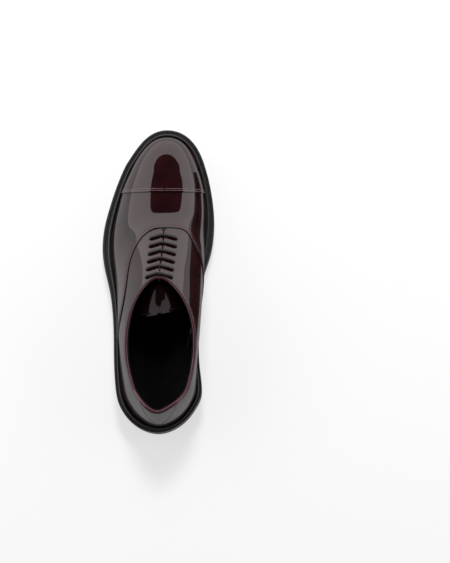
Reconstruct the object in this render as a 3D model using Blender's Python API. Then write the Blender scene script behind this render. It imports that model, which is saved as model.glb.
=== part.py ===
"""Left shoe of a pair of cap-toe oxfords, as separate pieces in one frame.

Frame: X is the medial side, Y the toe, Z up, ground at Z=0.  Tables are in mm, objects in metres.
"""
import math

import bmesh
import bpy
import numpy as np
from mathutils import Matrix, Vector

for ob in list(bpy.data.objects):
    bpy.data.objects.remove(ob, do_unlink=True)

MM = 0.001

# ---- driving dimensions (mm) -------------------------------------------------------------------
LEATHER = 1.6            # upper leather
STIFF = (-2.9, -1.9)     # depth band of the stiffeners and eyelet stays under the upper
LINING = (-4.2, -3.2)    # depth band of the linings
TONGUE = (-8.9, -7.5)    # depth band of the tongue under the facings
TONGUE_LINING = (-10.1, -9.2)
LAP = 7.0                # how far a lapped piece runs under its neighbour
LASTING_DROP = 3.3       # wall of the upper beside the welt
LASTING_MARGIN = 12.0    # leather turned in under the insole
WELT_GAP = 1.6
WELT_BOTTOM = -4.3       # all heights below are from the feather line
MIDSOLE = (-7.3, -4.6)
OUTSOLE_TOP = -7.6
OUTSOLE_HEEL = -12.8
TOP_LIFT = 6.0
GAP = 0.3
LACE_R = 1.2
LACE_OVER = 1.6
LACE_UNDER = -5.8
EYELET_Q = 12.9          # eyelet row from the centre line, along the leather
EYELET_ROWS = 6
EYELET_R = 1.75
CAP_SEAM_Y = 85.4         # at the top of the toe; the seam leans forward toward the feather line
CAP_SEAM_LEAN = .1
TONGUE_SLANT = .153
TONGUE_DROP = 10.5       # how far the free end sinks away from the instep line
LACE_PEAK = 3.0          # how far each bar peaks toward the toe over the centre line
TONGUE_HINGE = (7.0, 54.6, 56.0)
HEEL_PIVOT = (2.0, -108.0)
BREAST_K = 12.65

# ---- the last: ridge line and the two feather lines, station by station --------------------------
# ridge x, y, z, tilt of the section in degrees
RIDGE = [(8.5, 146.0, 24.5, 90), (8.5, 143.4, 38, 66), (8.4, 134.5, 45.9, 42), (8.2, 121, 50.3, 18),
         (8.0, 104, 54, 3), (7.6, 89, 56.3, 0), (7.2, 70, 59.3, 0), (7.0, 52, 64.9, 0), (6.5, 32, 76.6, 0),
         (4.8, 12, 89.8, 0), (3.2, -8, 103, 0), (2.8, -32, 116, 0), (2.6, -58, 127, 0), (2.3, -84, 133, 0)]
RIDGE += [(2.0, -108, 135, 0)] * 5
# feather x, y, then section handles: outward, upward, in from the ridge
LATERAL = [(-23, 120, 0, 18, 13.5), (-24.6, 117.5, .5, 18, 17.5), (-26.6, 114, 1, 18.5, 21),
           (-29, 109, 1.5, 20, 24), (-32, 102, 2, 20, 27), (-36.7, 89, 2, 20, 29), (-42, 70, 1.5, 22, 29),
           (-45.6, 52, 1, 26, 27), (-46.6, 32, 0, 34, 24), (-44.3, 12, 0, 44, 22), (-41.2, -8, 2, 52, 20),
           (-39, -32, 4, 60, 18), (-37.8, -58, 4, 58, 13), (-36.8, -84, 0, 56, 8)]
MEDIAL = [(38.6, 117.5, 0, 15, 17), (39.6, 114.5, .5, 16, 20), (40.6, 111.5, 1, 18, 22),
          (41.8, 107.5, 1.5, 20, 24), (43.2, 102, 2, 20, 27), (45.5, 89, 2, 20, 29), (47.2, 70, 1.5, 22, 28),
          (46.8, 52, 2, 28, 26), (44.4, 32, 10, 38, 23), (40.5, 12, 19, 48, 20), (37.8, -8, 24, 56, 18),
          (36.4, -32, 24.5, 62, 17), (36.2, -58, 20.5, 62, 16), (36.4, -84, 14, 60, 14)]
# heel fan: radius from the pivot, lateral handles, medial handles, every 22.5 degrees
HEEL = [(36.9, (-6, 54, 3), (3, 56, 9)), (35.8, (-7, 54, 2), (1, 55, 6)), (35.7, (-5, 54, 3), (0, 55, 4)),
        (36.6, (-1, 54, 5), (0, 54, 5)), (37.4, (2, 54, 7), (2, 54, 7))]
FEATHER_Z = ((-155, 34), (-110, 33.5), (-75, 31.5), (-45, 27), (-15, 21), (15, 17), (45, 15.5), (75, 15.8),
             (105, 18), (130, 21.5), (158, 25.5))
TOPLINE_Z = ((9, 103), (9.8, 101.2), (10.4, 101), (11, 98.5), (12, 88.5), (13, 81), (14, 82.5),
             (15, 85.5), (16, 89), (17, 91.5), (18, 92.5))
# vamp seam laid flat: ridge y, distance from the ridge (minus is lateral)
VAMP_SEAM = ((-62, -113), (-54, -88), (-42, -64), (-24, -48), (-2, -40.6), (17, -35), (31, -28),
             (41, -19.5), (46.4, -10), (48, 0), (48, 12), (46, 21.4), (40, 28.2), (30.4, 36.8), (22, 46), (12, 57),
             (-4, 71), (-22, 85), (-42, 101), (-60, 118))
# welt width at the toe tip, and by station from there round to the back of the heel
WELT_TIP = 8.0
WELT_LATERAL = (7.9, 8.0, 8.0, 8.0, 8.0, 8.2, 8.8, 9.4, 9.6, 9.0, 7.4, 6.2, 5.9, 6.2, 6.3, 6.8, 7.1, 6.7, 6.0)
WELT_MEDIAL = (7.9, 7.8, 7.7, 7.6, 7.7, 8.0, 8.6, 9.0, 8.6, 6.4, 5.0, 4.7, 4.7, 5.3, 5.8, 5.4, 5.0, 5.2, 6.0)

K_END = len(RIDGE) - 1
COLUMNS = (0, 1, 2, 3, 4, 5, 6, 7, 8, 9, 10, 11, 12, BREAST_K, 13.4, 14, 14.8, 15.6, 16.4, 17.2, 18)
ROWS = (0, .15, .3, .44, .57, .68, .78, .86, .93, 1)


def spline(xs, ys):
    """Natural cubic spline through points; each y may be a row of values."""
    x = np.array(xs, float)
    y = np.array(ys, float)
    n = len(x)
    h = np.diff(x)
    a = np.eye(n)
    b = np.zeros(y.shape)
    for i in range(1, n - 1):
        a[i, i - 1:i + 2] = h[i - 1], 2 * (h[i - 1] + h[i]), h[i]
        b[i] = 6 * ((y[i + 1] - y[i]) / h[i] - (y[i] - y[i - 1]) / h[i - 1])
    m = np.linalg.solve(a, b)

    def value(t):
        t = np.asarray(t, float)
        k = np.clip(np.searchsorted(x, t) - 1, 0, n - 2)
        w = h[k]
        u = (x[k + 1] - t) / w
        v = (t - x[k]) / w
        if y.ndim > 1:
            u, v, w = u[..., None], v[..., None], w[..., None]
        return u * y[k] + v * y[k + 1] + ((u ** 3 - u) * m[k] + (v ** 3 - v) * m[k + 1]) * w * w / 6
    return value


def stations():
    """Rows of ridge and feather values round the last: lateral toe, heel, medial toe."""
    lateral, medial = list(LATERAL), list(MEDIAL)
    for i, (r, hl, hm) in enumerate(HEEL):
        a = math.radians(22.5 * i)
        c, s = math.cos(a), math.sin(a)
        rm = r - 0.6 * c
        lateral.append((HEEL_PIVOT[0] - r * c, HEEL_PIVOT[1] - r * s, *hl))
        medial.append((HEEL_PIVOT[0] + rm * c, HEEL_PIVOT[1] - rm * s, *hm))
    rows = [(*RIDGE[k], *lateral[k]) for k in range(K_END + 1)]
    return rows + [(*RIDGE[k], *medial[k]) for k in range(K_END - 1, -1, -1)]


section = spline(range(2 * K_END + 1), stations())
feather_z = spline(*zip(*FEATHER_Z))
topline_z = spline(*zip(*TOPLINE_Z))


def last_surface(s, t):
    """Point of the upper's outer face: s runs round the feather, t from the feather to the ridge."""
    s = np.asarray(s, float)
    p = section(s)
    run = (section(np.clip(s + .001, 0, 2 * K_END)) - section(np.clip(s - .001, 0, 2 * K_END)))[..., 4:6]
    run = run / np.linalg.norm(run, axis=-1, keepdims=True)
    zero = np.zeros_like(s)
    lateral = s < K_END
    k = np.minimum(s, 2 * K_END - s)
    foot = np.stack([p[..., 4], p[..., 5], feather_z(p[..., 5])], -1)
    ridge = p[..., 0:3]
    out = np.stack([run[..., 1], -run[..., 0], zero], -1)
    fore = np.stack([run[..., 0], run[..., 1], zero], -1) * np.where(lateral, -1.0, 1.0)[..., None]
    tilt = np.radians(p[..., 3])[..., None]
    up = fore * np.sin(tilt) + np.array([0, 0, 1.0]) * np.cos(tilt)
    p1 = foot + p[..., 6:7] * out + p[..., 7:8] * up
    away = foot - ridge
    away[..., 2] = 0
    away /= np.maximum(np.linalg.norm(away, axis=-1, keepdims=True), 1e-9)
    side = np.where(lateral, -1.0, 1.0)[..., None] * np.array([1.0, 0, 0])
    w = np.clip((k - 12.5) / 2.0, 0, 1)[..., None]
    e = side * (1 - w) + away * w
    p2 = ridge + p[..., 8:9] * e / np.linalg.norm(e, axis=-1, keepdims=True)
    t = np.asarray(t, float)[..., None]
    u = 1 - t
    return u ** 3 * foot + 3 * u * u * t * p1 + 3 * u * t * t * p2 + t ** 3 * ridge


def girth(s):
    """Distances along one section from the ridge, on a fine run of t."""
    t = np.linspace(1, 0, 81)
    p = last_surface(np.full(81, float(s)), t)
    return t, np.concatenate([[0], np.cumsum(np.linalg.norm(np.diff(p, axis=0), axis=1))])


def flat_distance(y, q, curve):
    """Signed distance to a seam on the flattened upper; plus is toward the heel."""
    d = np.hypot(curve[:, 0] - y, curve[:, 1] - q).min()
    i = np.argsort(curve[:, 1])
    return d if y < np.interp(q, curve[i, 1], curve[i, 0]) else -d


seam_curve = spline(range(len(VAMP_SEAM)), VAMP_SEAM)(np.linspace(0, len(VAMP_SEAM) - 1, 400))

# columns carried by every vertex of the base skin
POS, VEC = slice(0, 3), slice(3, 6)
CAP, VAMP, TOP, Q, YR, UP, SIDE, TAB, K = range(6, 15)


def skin_fields(s, t, p):
    """Seam distances of one vertex of the skin."""
    ts, g = girth(s)
    q = np.interp(1 - t, 1 - ts, g)
    side = -1.0 if s < K_END else 1.0
    k = min(s, 2 * K_END - s)
    ridge_y = float(section(s)[1])
    vamp = flat_distance(ridge_y, side * q, seam_curve)
    top = float(topline_z(k)) - p[2] if k > 8.4 else 30.0
    back = 2 * K_END - 2 * k if k > K_END else (K_END - k)
    reach = max(0.0, (p[2] - 59.0) / 31.0)
    tab = 19.0 * reach ** 0.75 - abs(p[0] - 3.6) if back < 4.1 else -30.0
    height = p[2] - float(feather_z(p[1]))
    cap = CAP_SEAM_Y + CAP_SEAM_LEAN * (56.3 - p[2]) - p[1]
    return [cap, vamp, top, q, ridge_y, height, side, tab, k]


def build_skin():
    """Triangulated outer face of the upper with its lasting margin, and the feather loop."""
    cols = np.array(COLUMNS + tuple(2 * K_END - k for k in COLUMNS[-2::-1]), float)
    index, rows = {}, []

    def vertex(s, t, p, fields):
        key = tuple(np.round(p, 4))
        if key not in index:
            index[key] = len(rows)
            rows.append([*p, 0, 0, 0, *fields])
        return index[key]

    grid = np.zeros((len(cols), len(ROWS)), int)
    for i, s in enumerate(cols):
        pts = last_surface(np.full(len(ROWS), s), np.array(ROWS, float))
        for j, t in enumerate(ROWS):
            grid[i, j] = vertex(s, t, pts[j], skin_fields(s, t, pts[j]))
    tris, sides = [], []
    for i in range(len(cols) - 1):
        for j in range(len(ROWS) - 1):
            a, b, c, d = grid[i, j], grid[i + 1, j], grid[i + 1, j + 1], grid[i, j + 1]
            halves = ((a, b, c), (a, c, d)) if cols[i] < K_END else ((a, b, d), (b, c, d))
            halves = [f for f in halves if len(set(f)) == 3]
            tris += halves
            sides += [-1.0 if cols[i] < K_END else 1.0] * len(halves)
    data = np.array(rows)
    normal = np.zeros((len(data), 3))
    for f in tris:
        p = data[list(f), 0:3]
        for m in range(3):
            e1, e2 = p[(m + 1) % 3] - p[m], p[(m + 2) % 3] - p[m]
            c = np.cross(e1, e2)
            size = np.linalg.norm(c)
            if size > 1e-9:
                a = math.atan2(size, float(e1 @ e2))
                normal[f[m]] += a * c / size
    normal /= np.maximum(np.linalg.norm(normal, axis=1, keepdims=True), 1e-9)
    loop = [grid[0, j] for j in range(len(ROWS) - 1, 0, -1)] + list(grid[:, 0])
    loop += [grid[-1, j] for j in range(1, len(ROWS) - 1)]
    data[loop, 2] = feather_z(data[loop, 1])
    lp = data[loop, 0:3]
    run = np.roll(lp, -1, axis=0) - np.roll(lp, 1, axis=0)
    out = np.stack([run[:, 1], -run[:, 0], np.zeros(len(loop))], -1)
    out /= np.linalg.norm(out, axis=1, keepdims=True)
    data[:, 3:6] = normal
    for i, v in enumerate(loop):
        data[v, 3:6] = (normal[v] + out[i]) / (1 + normal[v] @ out[i])
    down = np.array([0, 0, -1.0])
    wall, margin = data[loop].copy(), data[loop].copy()
    wall[:, POS] += LASTING_DROP * down
    wall[:, VEC] = out + down
    margin[:, POS] -= LASTING_MARGIN * out
    margin[:, 2] = feather_z(margin[:, 1]) - LASTING_DROP
    margin[:, VEC] = down
    n, m = len(data), len(loop)
    data = np.vstack([data, wall, margin])
    for i in range(m):
        j = (i + 1) % m
        a, b = loop[i], loop[j]
        wa, wb, ma, mb = n + i, n + j, n + m + i, n + m + j
        tris += [(wa, wb, b), (wa, b, a), (ma, mb, wb), (ma, wb, wa)]
        sides += [-1.0 if i < m // 2 else 1.0] * 4
    return data, tris, sides, lp, out


SKIN, TRIS, SIDES, LOOP, LOOP_OUT = build_skin()
LOOP_N = len(LOOP)
FACES = [SKIN[list(f)] for f in TRIS]
for face, which in zip(FACES, SIDES):
    face[:, SIDE] = which


def cut(faces, column, level, keep):
    """Keep the part of each face where the column is above (+1) or below (-1) a level."""
    done = []
    for face in faces:
        v = (face[:, column] - level) * keep
        v[np.abs(v) < 0.02] = 0
        if (v >= 0).all():
            if (v > 0).any():
                done.append(face)
            continue
        if (v <= 0).all():
            continue
        ring = []
        for i in range(len(face)):
            j = (i + 1) % len(face)
            if v[i] >= 0:
                ring.append(face[i])
            if v[i] * v[j] < 0:
                a, b, va, vb = face[i], face[j], v[i], v[j]
                if tuple(b[POS]) < tuple(a[POS]):
                    a, b, va, vb = b, a, vb, va
                mid = a + (b - a) * (va / (va - vb))
                mid[column] = level
                ring.append(mid)
        if len(ring) > 2:
            done.append(np.array(ring))
    return done


def split(faces, column, *levels):
    """Add edges along the given levels without dropping anything."""
    for level in levels:
        faces = cut(faces, column, level, 1) + cut(faces, column, level, -1)
    return faces


def add_object(name, verts, faces, colour, rough):
    """Mesh object in metres with its own material."""
    mesh = bpy.data.meshes.new(name)
    mesh.from_pydata([tuple(float(c) * MM for c in v) for v in verts], [], faces)
    bm = bmesh.new()
    bm.from_mesh(mesh)
    bmesh.ops.recalc_face_normals(bm, faces=bm.faces)
    bm.to_mesh(mesh)
    bm.free()
    ob = bpy.data.objects.new(name, mesh)
    bpy.context.scene.collection.objects.link(ob)
    mat = bpy.data.materials.new(name)
    mat.use_nodes = True
    shader = mat.node_tree.nodes["Principled BSDF"]
    shader.inputs["Base Color"].default_value = (*colour, 1)
    shader.inputs["Roughness"].default_value = rough
    mesh.materials.append(mat)
    return ob


def laminate(name, faces, inner, outer, colour, rough):
    """Closed sheet between two depths of the skin; each depth is a number or a function of a vertex."""
    index, verts, polys = {}, [], []
    for face in faces:
        ids = []
        for v in face:
            key = tuple(np.round(v[POS], 3))
            if key not in index:
                index[key] = len(verts)
                verts.append(v)
            if not ids or ids[-1] != index[key]:
                ids.append(index[key])
        if len(ids) > 1 and ids[0] == ids[-1]:
            ids.pop()
        if len(set(ids)) == len(ids) and len(ids) > 2:
            polys.append(ids)
    depth = [(f(v) if callable(f) else f) for f in (inner, outer) for v in verts]
    n = len(verts)
    pts = [verts[i % n][POS] + depth[i] * verts[i % n][VEC] for i in range(2 * n)]
    out = [[i + n for i in p] for p in polys] + [list(reversed(p)) for p in polys]
    edges = {}
    for p in polys:
        for a, b in zip(p, p[1:] + p[:1]):
            edges[(a, b)] = True
    for a, b in edges:
        if (b, a) not in edges:
            out.append([a, b, b + n, a + n])
    used = sorted({i for f in out for i in f})
    remap = {i: j for j, i in enumerate(used)}
    return add_object(name, [pts[i] for i in used], [[remap[i] for i in f] for f in out], colour, rough)


def ramp(column, xs, ys):
    return lambda v: float(np.interp(v[column], xs, ys))


def over(column):
    """Inner and outer depth of a piece that laps over its neighbour at level 0 of a seam column."""
    return ramp(column, (-9, -7.3, 0), (-LEATHER, -.3, .25)), ramp(column, (-13, 0), (0, 1.0))


def under(column):
    return ramp(column, (0, LAP), (-.6, 0))


OXBLOOD, BLACK, TAN = (.05, .006, .009), (.006, .006, .007), (.45, .30, .17)
shell = cut(FACES, TOP, 0, 1)

# ---- upper leather -------------------------------------------------------------------------------
cap_in, cap_out = over(CAP)
faces = split(cut(shell, CAP, 0, -1), CAP, -13, -9, -7.3)
laminate("toe_cap", faces, cap_in, cap_out, OXBLOOD, .12)

vamp_in, vamp_lift = over(VAMP)
faces = cut(cut(shell, VAMP, 0, -1), CAP, -LAP, 1)
faces = split(split(faces, VAMP, -13, -9, -7.3), CAP, 0)
laminate("vamp", faces, vamp_in,
         lambda v: float(np.interp(v[CAP], (-LAP, 0), (-.6, 0))) + vamp_lift(v), OXBLOOD, .12)

for name, side in (("quarter_lateral", -1), ("quarter_medial", 1)):
    faces = cut(cut(cut(shell, VAMP, -LAP, 1), SIDE, 0, side), K, K_END - .005, -1)
    faces = split(cut(faces, Q, .2, 1), VAMP, 0)
    laminate(name, faces, -LEATHER, ramp(VAMP, (-LAP, 0), (-.6, 0)), OXBLOOD, .12)

laminate("heel_tab", cut(cut(shell, TAB, 0, 1), UP, 15, 1), .2, .9, OXBLOOD, .12)

# ---- stiffeners under the upper ------------------------------------------------------------------
inner = cut(FACES, TOP, 1.0, 1)
laminate("toe_puff", cut(inner, CAP, -5, -1), *STIFF, (.6, .5, .38), .8)
laminate("vamp_interlining", cut(cut(inner, CAP, -4.6, 1), VAMP, -.6, -1), *STIFF, (.75, .72, .66), .9)
for name, side in (("eyelet_stay_lateral", -1), ("eyelet_stay_medial", 1)):
    faces = cut(cut(cut(inner, VAMP, 0, 1), SIDE, 0, side), YR, -13, 1)
    laminate(name, cut(cut(faces, Q, .6, 1), Q, 22, -1), *STIFF, (.7, .66, .6), .9)
laminate("heel_counter", cut(cut(inner, K, 12.3, 1), UP, 44, -1), *STIFF, (.55, .4, .25), .8)

# ---- linings -------------------------------------------------------------------------------------
laminate("vamp_lining", cut(shell, VAMP, -3, -1), *LINING, BLACK, .6)
for name, side in (("quarter_lining_lateral", -1), ("quarter_lining_medial", 1)):
    faces = cut(cut(cut(shell, VAMP, -2.7, 1), SIDE, 0, side), K, 13.5, -1)
    laminate(name, cut(faces, Q, .3, 1), *LINING, BLACK, .6)
laminate("heel_lining", cut(shell, K, 13.53, 1), *LINING, BLACK, .6)


# ---- tongue --------------------------------------------------------------------------------------
def tongue_depth(low, high):
    return ramp(YR, (40, 46), (low, high))


def tongue_faces(grow):
    skin = []
    for face in cut(cut(FACES, YR, 56 + grow, -1), YR, -48, 1):
        face = face.copy()
        face[:, UP] = face[:, YR] + 38.3 + grow - TONGUE_SLANT * face[:, 0]
        skin.append(face)
    wide = []
    for face in cut(skin, UP, 0, 1):
        face[:, TAB] = np.interp(face[:, YR], (-37, 20, 56), (35, 29, 18)) + grow - face[:, Q]
        face[:, 2] -= TONGUE_DROP * np.clip((6 - face[:, YR]) / 44, 0, 1)
        wide.append(face)
    return split(cut(wide, TAB, 0, 1), YR, 40, 46)


def hang(ob):
    """Put an object's origin on the tongue's hinge line without moving its shape."""
    pivot = Vector([c * MM for c in TONGUE_HINGE])
    ob.data.transform(Matrix.Translation(-pivot))
    ob.location = pivot


hang(laminate("tongue", tongue_faces(0), tongue_depth(TONGUE[0], -6.0), tongue_depth(TONGUE[1], -4.6),
              OXBLOOD, .15))
hang(laminate("tongue_lining", tongue_faces(-1.5), tongue_depth(TONGUE_LINING[0], -7.2),
              tongue_depth(TONGUE_LINING[1], -6.3), BLACK, .6))


# ---- eyelets and lace ----------------------------------------------------------------------------
TRI_POINTS = np.array([SKIN[list(f), 0:3] for f in TRIS])


def skin_point(y, q, side, depth=0.0):
    """Point at a depth off the faceted skin, and the outward normal there."""
    ks = np.linspace(7, 14, 141)
    k = float(np.interp(-y, -section(ks)[:, 1], ks))
    s = k if side < 0 else 2 * K_END - k
    ts, g = girth(s)
    t = float(np.interp(q, g, ts))
    h = .002
    p = last_surface(np.array([s, s + h, s]), np.array([t, t, t - h]))
    n = np.cross(p[1] - p[0], p[0] - p[2])
    n /= np.linalg.norm(n)
    if q < .05:
        n[0] = 0
        n /= np.linalg.norm(n)
    base = p[0]
    a, e1, e2 = TRI_POINTS[:, 0], TRI_POINTS[:, 1] - TRI_POINTS[:, 0], TRI_POINTS[:, 2] - TRI_POINTS[:, 0]
    cr = np.cross(np.broadcast_to(n, e2.shape), e2)
    det = (e1 * cr).sum(1)
    det[np.abs(det) < 1e-9] = 1e-9
    r = base - a
    u = (r * cr).sum(1) / det
    qv = np.cross(r, e1)
    v = (qv @ n) / det
    w = (e2 * qv).sum(1) / det
    ok = (u > -1e-6) & (v > -1e-6) & (u + v < 1 + 1e-6) & (np.abs(w) < 3)
    shift = w[ok][np.argmin(np.abs(w[ok]))] if ok.any() else 0.0
    return base + (shift + depth) * n, n


def row_y(row):
    return 36.4 - (row - 1) * 8.25


def frame_of(n):
    a = np.cross(n, [0, 1.0, 0])
    a /= np.linalg.norm(a)
    return a, np.cross(n, a)


def tube(points, radius, sides, closed=False):
    """Vertices and faces of a tube swept along points."""
    p = np.array(points)
    n = len(p)
    if closed:
        run = np.roll(p, -1, axis=0) - np.roll(p, 1, axis=0)
    else:
        run = np.gradient(p, axis=0)
    run /= np.linalg.norm(run, axis=1, keepdims=True)
    ref = np.cross(run[0], [0.3, 0.2, 1.0])
    verts, faces = [], []
    for i in range(n):
        ref = ref - (ref @ run[i]) * run[i]
        ref /= np.linalg.norm(ref)
        third = np.cross(run[i], ref)
        for j in range(sides):
            a = 2 * math.pi * j / sides
            verts.append(p[i] + radius * (math.cos(a) * ref + math.sin(a) * third))
    last = n if closed else n - 1
    for i in range(last):
        a, b = i * sides, ((i + 1) % n) * sides
        for j in range(sides):
            m = (j + 1) % sides
            faces.append([a + j, a + m, b + m, b + j])
    if not closed:
        faces.append(list(range(sides))[::-1])
        faces.append(list(range((n - 1) * sides, n * sides)))
    return verts, faces


def drill(targets, side, radius, name):
    """Cut the six lace holes of one side out of each target."""
    verts, faces = [], []
    for row in range(1, EYELET_ROWS + 1):
        p, n = skin_point(row_y(row), EYELET_Q, side)
        v, f = tube([p - 8 * n, p + 4 * n], radius, 12)
        faces += [[i + len(verts) for i in face] for face in f]
        verts += v
    cutter = add_object(name, verts, faces, BLACK, .5)
    cutter.hide_render = True
    cutter.display_type = "WIRE"
    for target in targets:
        mod = bpy.data.objects[target].modifiers.new("lace_holes", "BOOLEAN")
        mod.operation = "DIFFERENCE"
        mod.solver = "EXACT"
        mod.object = cutter


def eyelet(name, row, side):
    """Flat blind ring clenched in the stay round one lace hole."""
    p, n = skin_point(row_y(row), EYELET_Q, side, -2.4)
    a, b = frame_of(n)
    verts, faces, m = [], [], 12
    for r, d in ((EYELET_R, -.3), (2.9, -.3), (2.9, .3), (EYELET_R, .3)):
        for i in range(m):
            w = 2 * math.pi * i / m
            verts.append(p + r * (math.cos(w) * a + math.sin(w) * b) + d * n)
    flip = np.dot(np.cross(a, b), n) > 0
    for c in range(4):
        for i in range(m):
            j = (i + 1) % m
            f = [c * m + i, c * m + j, ((c + 1) % 4) * m + j, ((c + 1) % 4) * m + i]
            faces.append(f[::-1] if flip else f)
    add_object(name, verts, faces, (.5, .42, .25), .35)


for word, side in (("lateral", -1), ("medial", 1)):
    drill([f"quarter_{word}", f"quarter_lining_{word}"], side, EYELET_R, f"cut_holes_{word}")
    drill([f"eyelet_stay_{word}"], side, 3.3, f"cut_eyelets_{word}")
    for row in range(1, EYELET_ROWS + 1):
        eyelet(f"eyelet_{word}_{row}", row, side)


def bend(corner_in, corner, corner_out, radius):
    """Three points of a rounded corner."""
    d1 = (corner_in - corner) / np.linalg.norm(corner_in - corner)
    d2 = (corner_out - corner) / np.linalg.norm(corner_out - corner)
    a, b = corner + radius * d1, corner + radius * d2
    centre = a + b - corner
    pts = []
    for w in (0, 45, 90):
        w = math.radians(w)
        pts.append(centre + (a - centre) * math.cos(w) + (b - centre) * math.sin(w))
    return pts


def bar(row, start):
    """Over-bar of one row from the start side to the other, corner to corner."""
    out = []
    for side in (start, -start):
        for q in ((EYELET_Q, 6.5) if side == start else (6.5, EYELET_Q)):
            peak = LACE_PEAK * (1 - q / EYELET_Q)
            out.append(skin_point(row_y(row) + peak, q, side, LACE_OVER)[0])
        if side == start:
            out.append(skin_point(row_y(row) + LACE_PEAK, 0, side, LACE_OVER)[0])
    return out


def under_run(side, row_a, row_b, shift):
    """Run under the lining between two holes of one side, swung aside past the hole between."""
    ya, yb = row_y(row_a), row_y(row_b)
    return [skin_point(ya + (yb - ya) * w, EYELET_Q + shift * math.sin(math.pi * w), side, LACE_UNDER)[0]
            for w in ((0, 1) if abs(row_a - row_b) == 1 else (0, .33, .67, 1))]


def lace_path():
    """Straight-bar lacing from the tail of row 6 to the tail of row 5."""
    legs = []

    def tail(row, far_q):
        run = np.linspace(0, 1, 10)
        ys = row_y(row) - (58 + row_y(row)) * run
        qs = EYELET_Q + (far_q - EYELET_Q) * np.sin(run * math.pi / 2)
        depths = LACE_UNDER - 1.8 * np.maximum(0, 2 * run - 1) ** 2
        return [skin_point(y, q, 1, depth)[0] for y, q, depth in zip(ys, qs, depths)]

    legs.append(tail(6, 66)[::-1])
    legs.append(bar(6, 1))
    legs.append(under_run(-1, 6, 4, -3.3))
    legs.append(bar(4, -1))
    legs.append(under_run(1, 4, 2, -3.3))
    legs.append(bar(2, 1))
    legs.append(under_run(-1, 2, 1, 0))
    legs.append(bar(1, -1))
    legs.append(under_run(1, 1, 3, 3.3))
    legs.append(bar(3, 1))
    legs.append(under_run(-1, 3, 5, 3.3))
    legs.append(bar(5, -1))
    legs.append(tail(5, 75))
    path = []
    for i, leg in enumerate(legs):
        inner_pts = leg[(1 if i else 0):(len(leg) - 1 if i < len(legs) - 1 else len(leg))]
        if i:
            before = legs[i - 1][-1]
            path += bend(before, leg[0], leg[1], 1.5)
        path += inner_pts
        if i < len(legs) - 1:
            path += bend(leg[-2], leg[-1], legs[i + 1][0], 1.5)
    return path


LACE_PATH = lace_path()
verts, faces = tube(LACE_PATH, LACE_R, 6)
add_object("lace", verts, faces, BLACK, .45)
for name, a, b in (("aglet_1", 0, 1), ("aglet_2", -1, -2)):
    end, before = LACE_PATH[a], LACE_PATH[b]
    d = (end - before) / np.linalg.norm(end - before)
    verts, faces = tube([end + .35 * d, end + 16 * d], LACE_R, 8)
    add_object(name, verts, faces, BLACK, .3)


# ---- bottom: welt, soles, heel -------------------------------------------------------------------
def loop_values(lateral, medial):
    """Spread one value per station over the whole feather loop."""
    m = len(ROWS) - 1
    ks = np.concatenate([np.linspace(-1, 0, m + 1)[:-1], COLUMNS])
    xs = np.concatenate([[-1], np.arange(0, K_END + 1)])
    left = spline(xs, (WELT_TIP, *lateral))(ks)
    right = spline(xs, (WELT_TIP, *medial))(ks)
    return np.concatenate([left, right[::-1][1:-1]])


WELT_WIDTH = loop_values(WELT_LATERAL, WELT_MEDIAL)


def ring(outward, height):
    """Feather loop moved outward and to a height; either may be one value or one per point."""
    p = LOOP + LOOP_OUT * np.broadcast_to(outward, LOOP_N)[:, None]
    p[:, 2] = feather_z(p[:, 1]) + height
    return p


def loop_slab(name, top, bottom, colour, rough, first=0, last=None):
    """Solid between two rings, capped with strips from the lateral to the medial side."""
    half = LOOP_N // 2
    last = half if last is None else last
    left = list(range(first, last + 1))
    order = left + [(LOOP_N - i) % LOOP_N for i in reversed(left)]
    order = list(dict.fromkeys(order))
    n = len(order)
    where = {v: i for i, v in enumerate(order)}
    verts = [top[i] for i in order] + [bottom[i] for i in order]
    faces = []
    for i in left[:-1]:
        quad = [where[i], where[i + 1], where[LOOP_N - i - 1]]
        if (LOOP_N - i) % LOOP_N != i:
            quad.append(where[LOOP_N - i])
        quad = list(dict.fromkeys(quad))
        if len(quad) == 4:
            a, b, c, d = quad
            tris = [[a, b, c], [a, c, d]]
        else:
            tris = [quad]
        for f in tris:
            faces.append(f)
            faces.append([v + n for v in reversed(f)])
    for i in range(n):
        j = (i + 1) % n
        faces.append([i + n, j + n, j, i])
    return add_object(name, verts, faces, colour, rough)


def tread_z(y, feather):
    """Height of the outsole's underside."""
    if y > 75:
        return 9.2 * ((y - 75) / 78) ** 2
    if y > 20:
        return 0.0
    seat = feather + OUTSOLE_HEEL
    if y < -71:
        return seat
    u = (20 - y) / 91
    return (31.2 + OUTSOLE_HEEL) * u * u * (3 - 2 * u)


def absolute(points, heights):
    p = points.copy()
    p[:, 2] = heights
    return p


STATION = {k: len(ROWS) - 1 + i for i, k in enumerate(COLUMNS)}
BREAST = STATION[BREAST_K]
OUT_EDGE = WELT_WIDTH

outline = ring(OUT_EDGE, 0)
tread = np.array([tread_z(p[1], p[2]) for p in outline])
loop_slab("outsole", ring(OUT_EDGE, OUTSOLE_TOP), absolute(outline, tread), BLACK, .55)
loop_slab("midsole", ring(OUT_EDGE - .4, MIDSOLE[1]), ring(OUT_EDGE - .4, MIDSOLE[0]), BLACK, .5)
heel_top = absolute(ring(OUT_EDGE - .5, 0), tread - GAP)
loop_slab("heel_block", heel_top, absolute(heel_top, np.full(LOOP_N, TOP_LIFT + GAP)), BLACK, .5, BREAST)
lift = ring(OUT_EDGE - .1, 0)
loop_slab("heel_top_lift", absolute(lift, np.full(LOOP_N, TOP_LIFT)), absolute(lift, np.zeros(LOOP_N)),
          BLACK, .6, BREAST)

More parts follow.
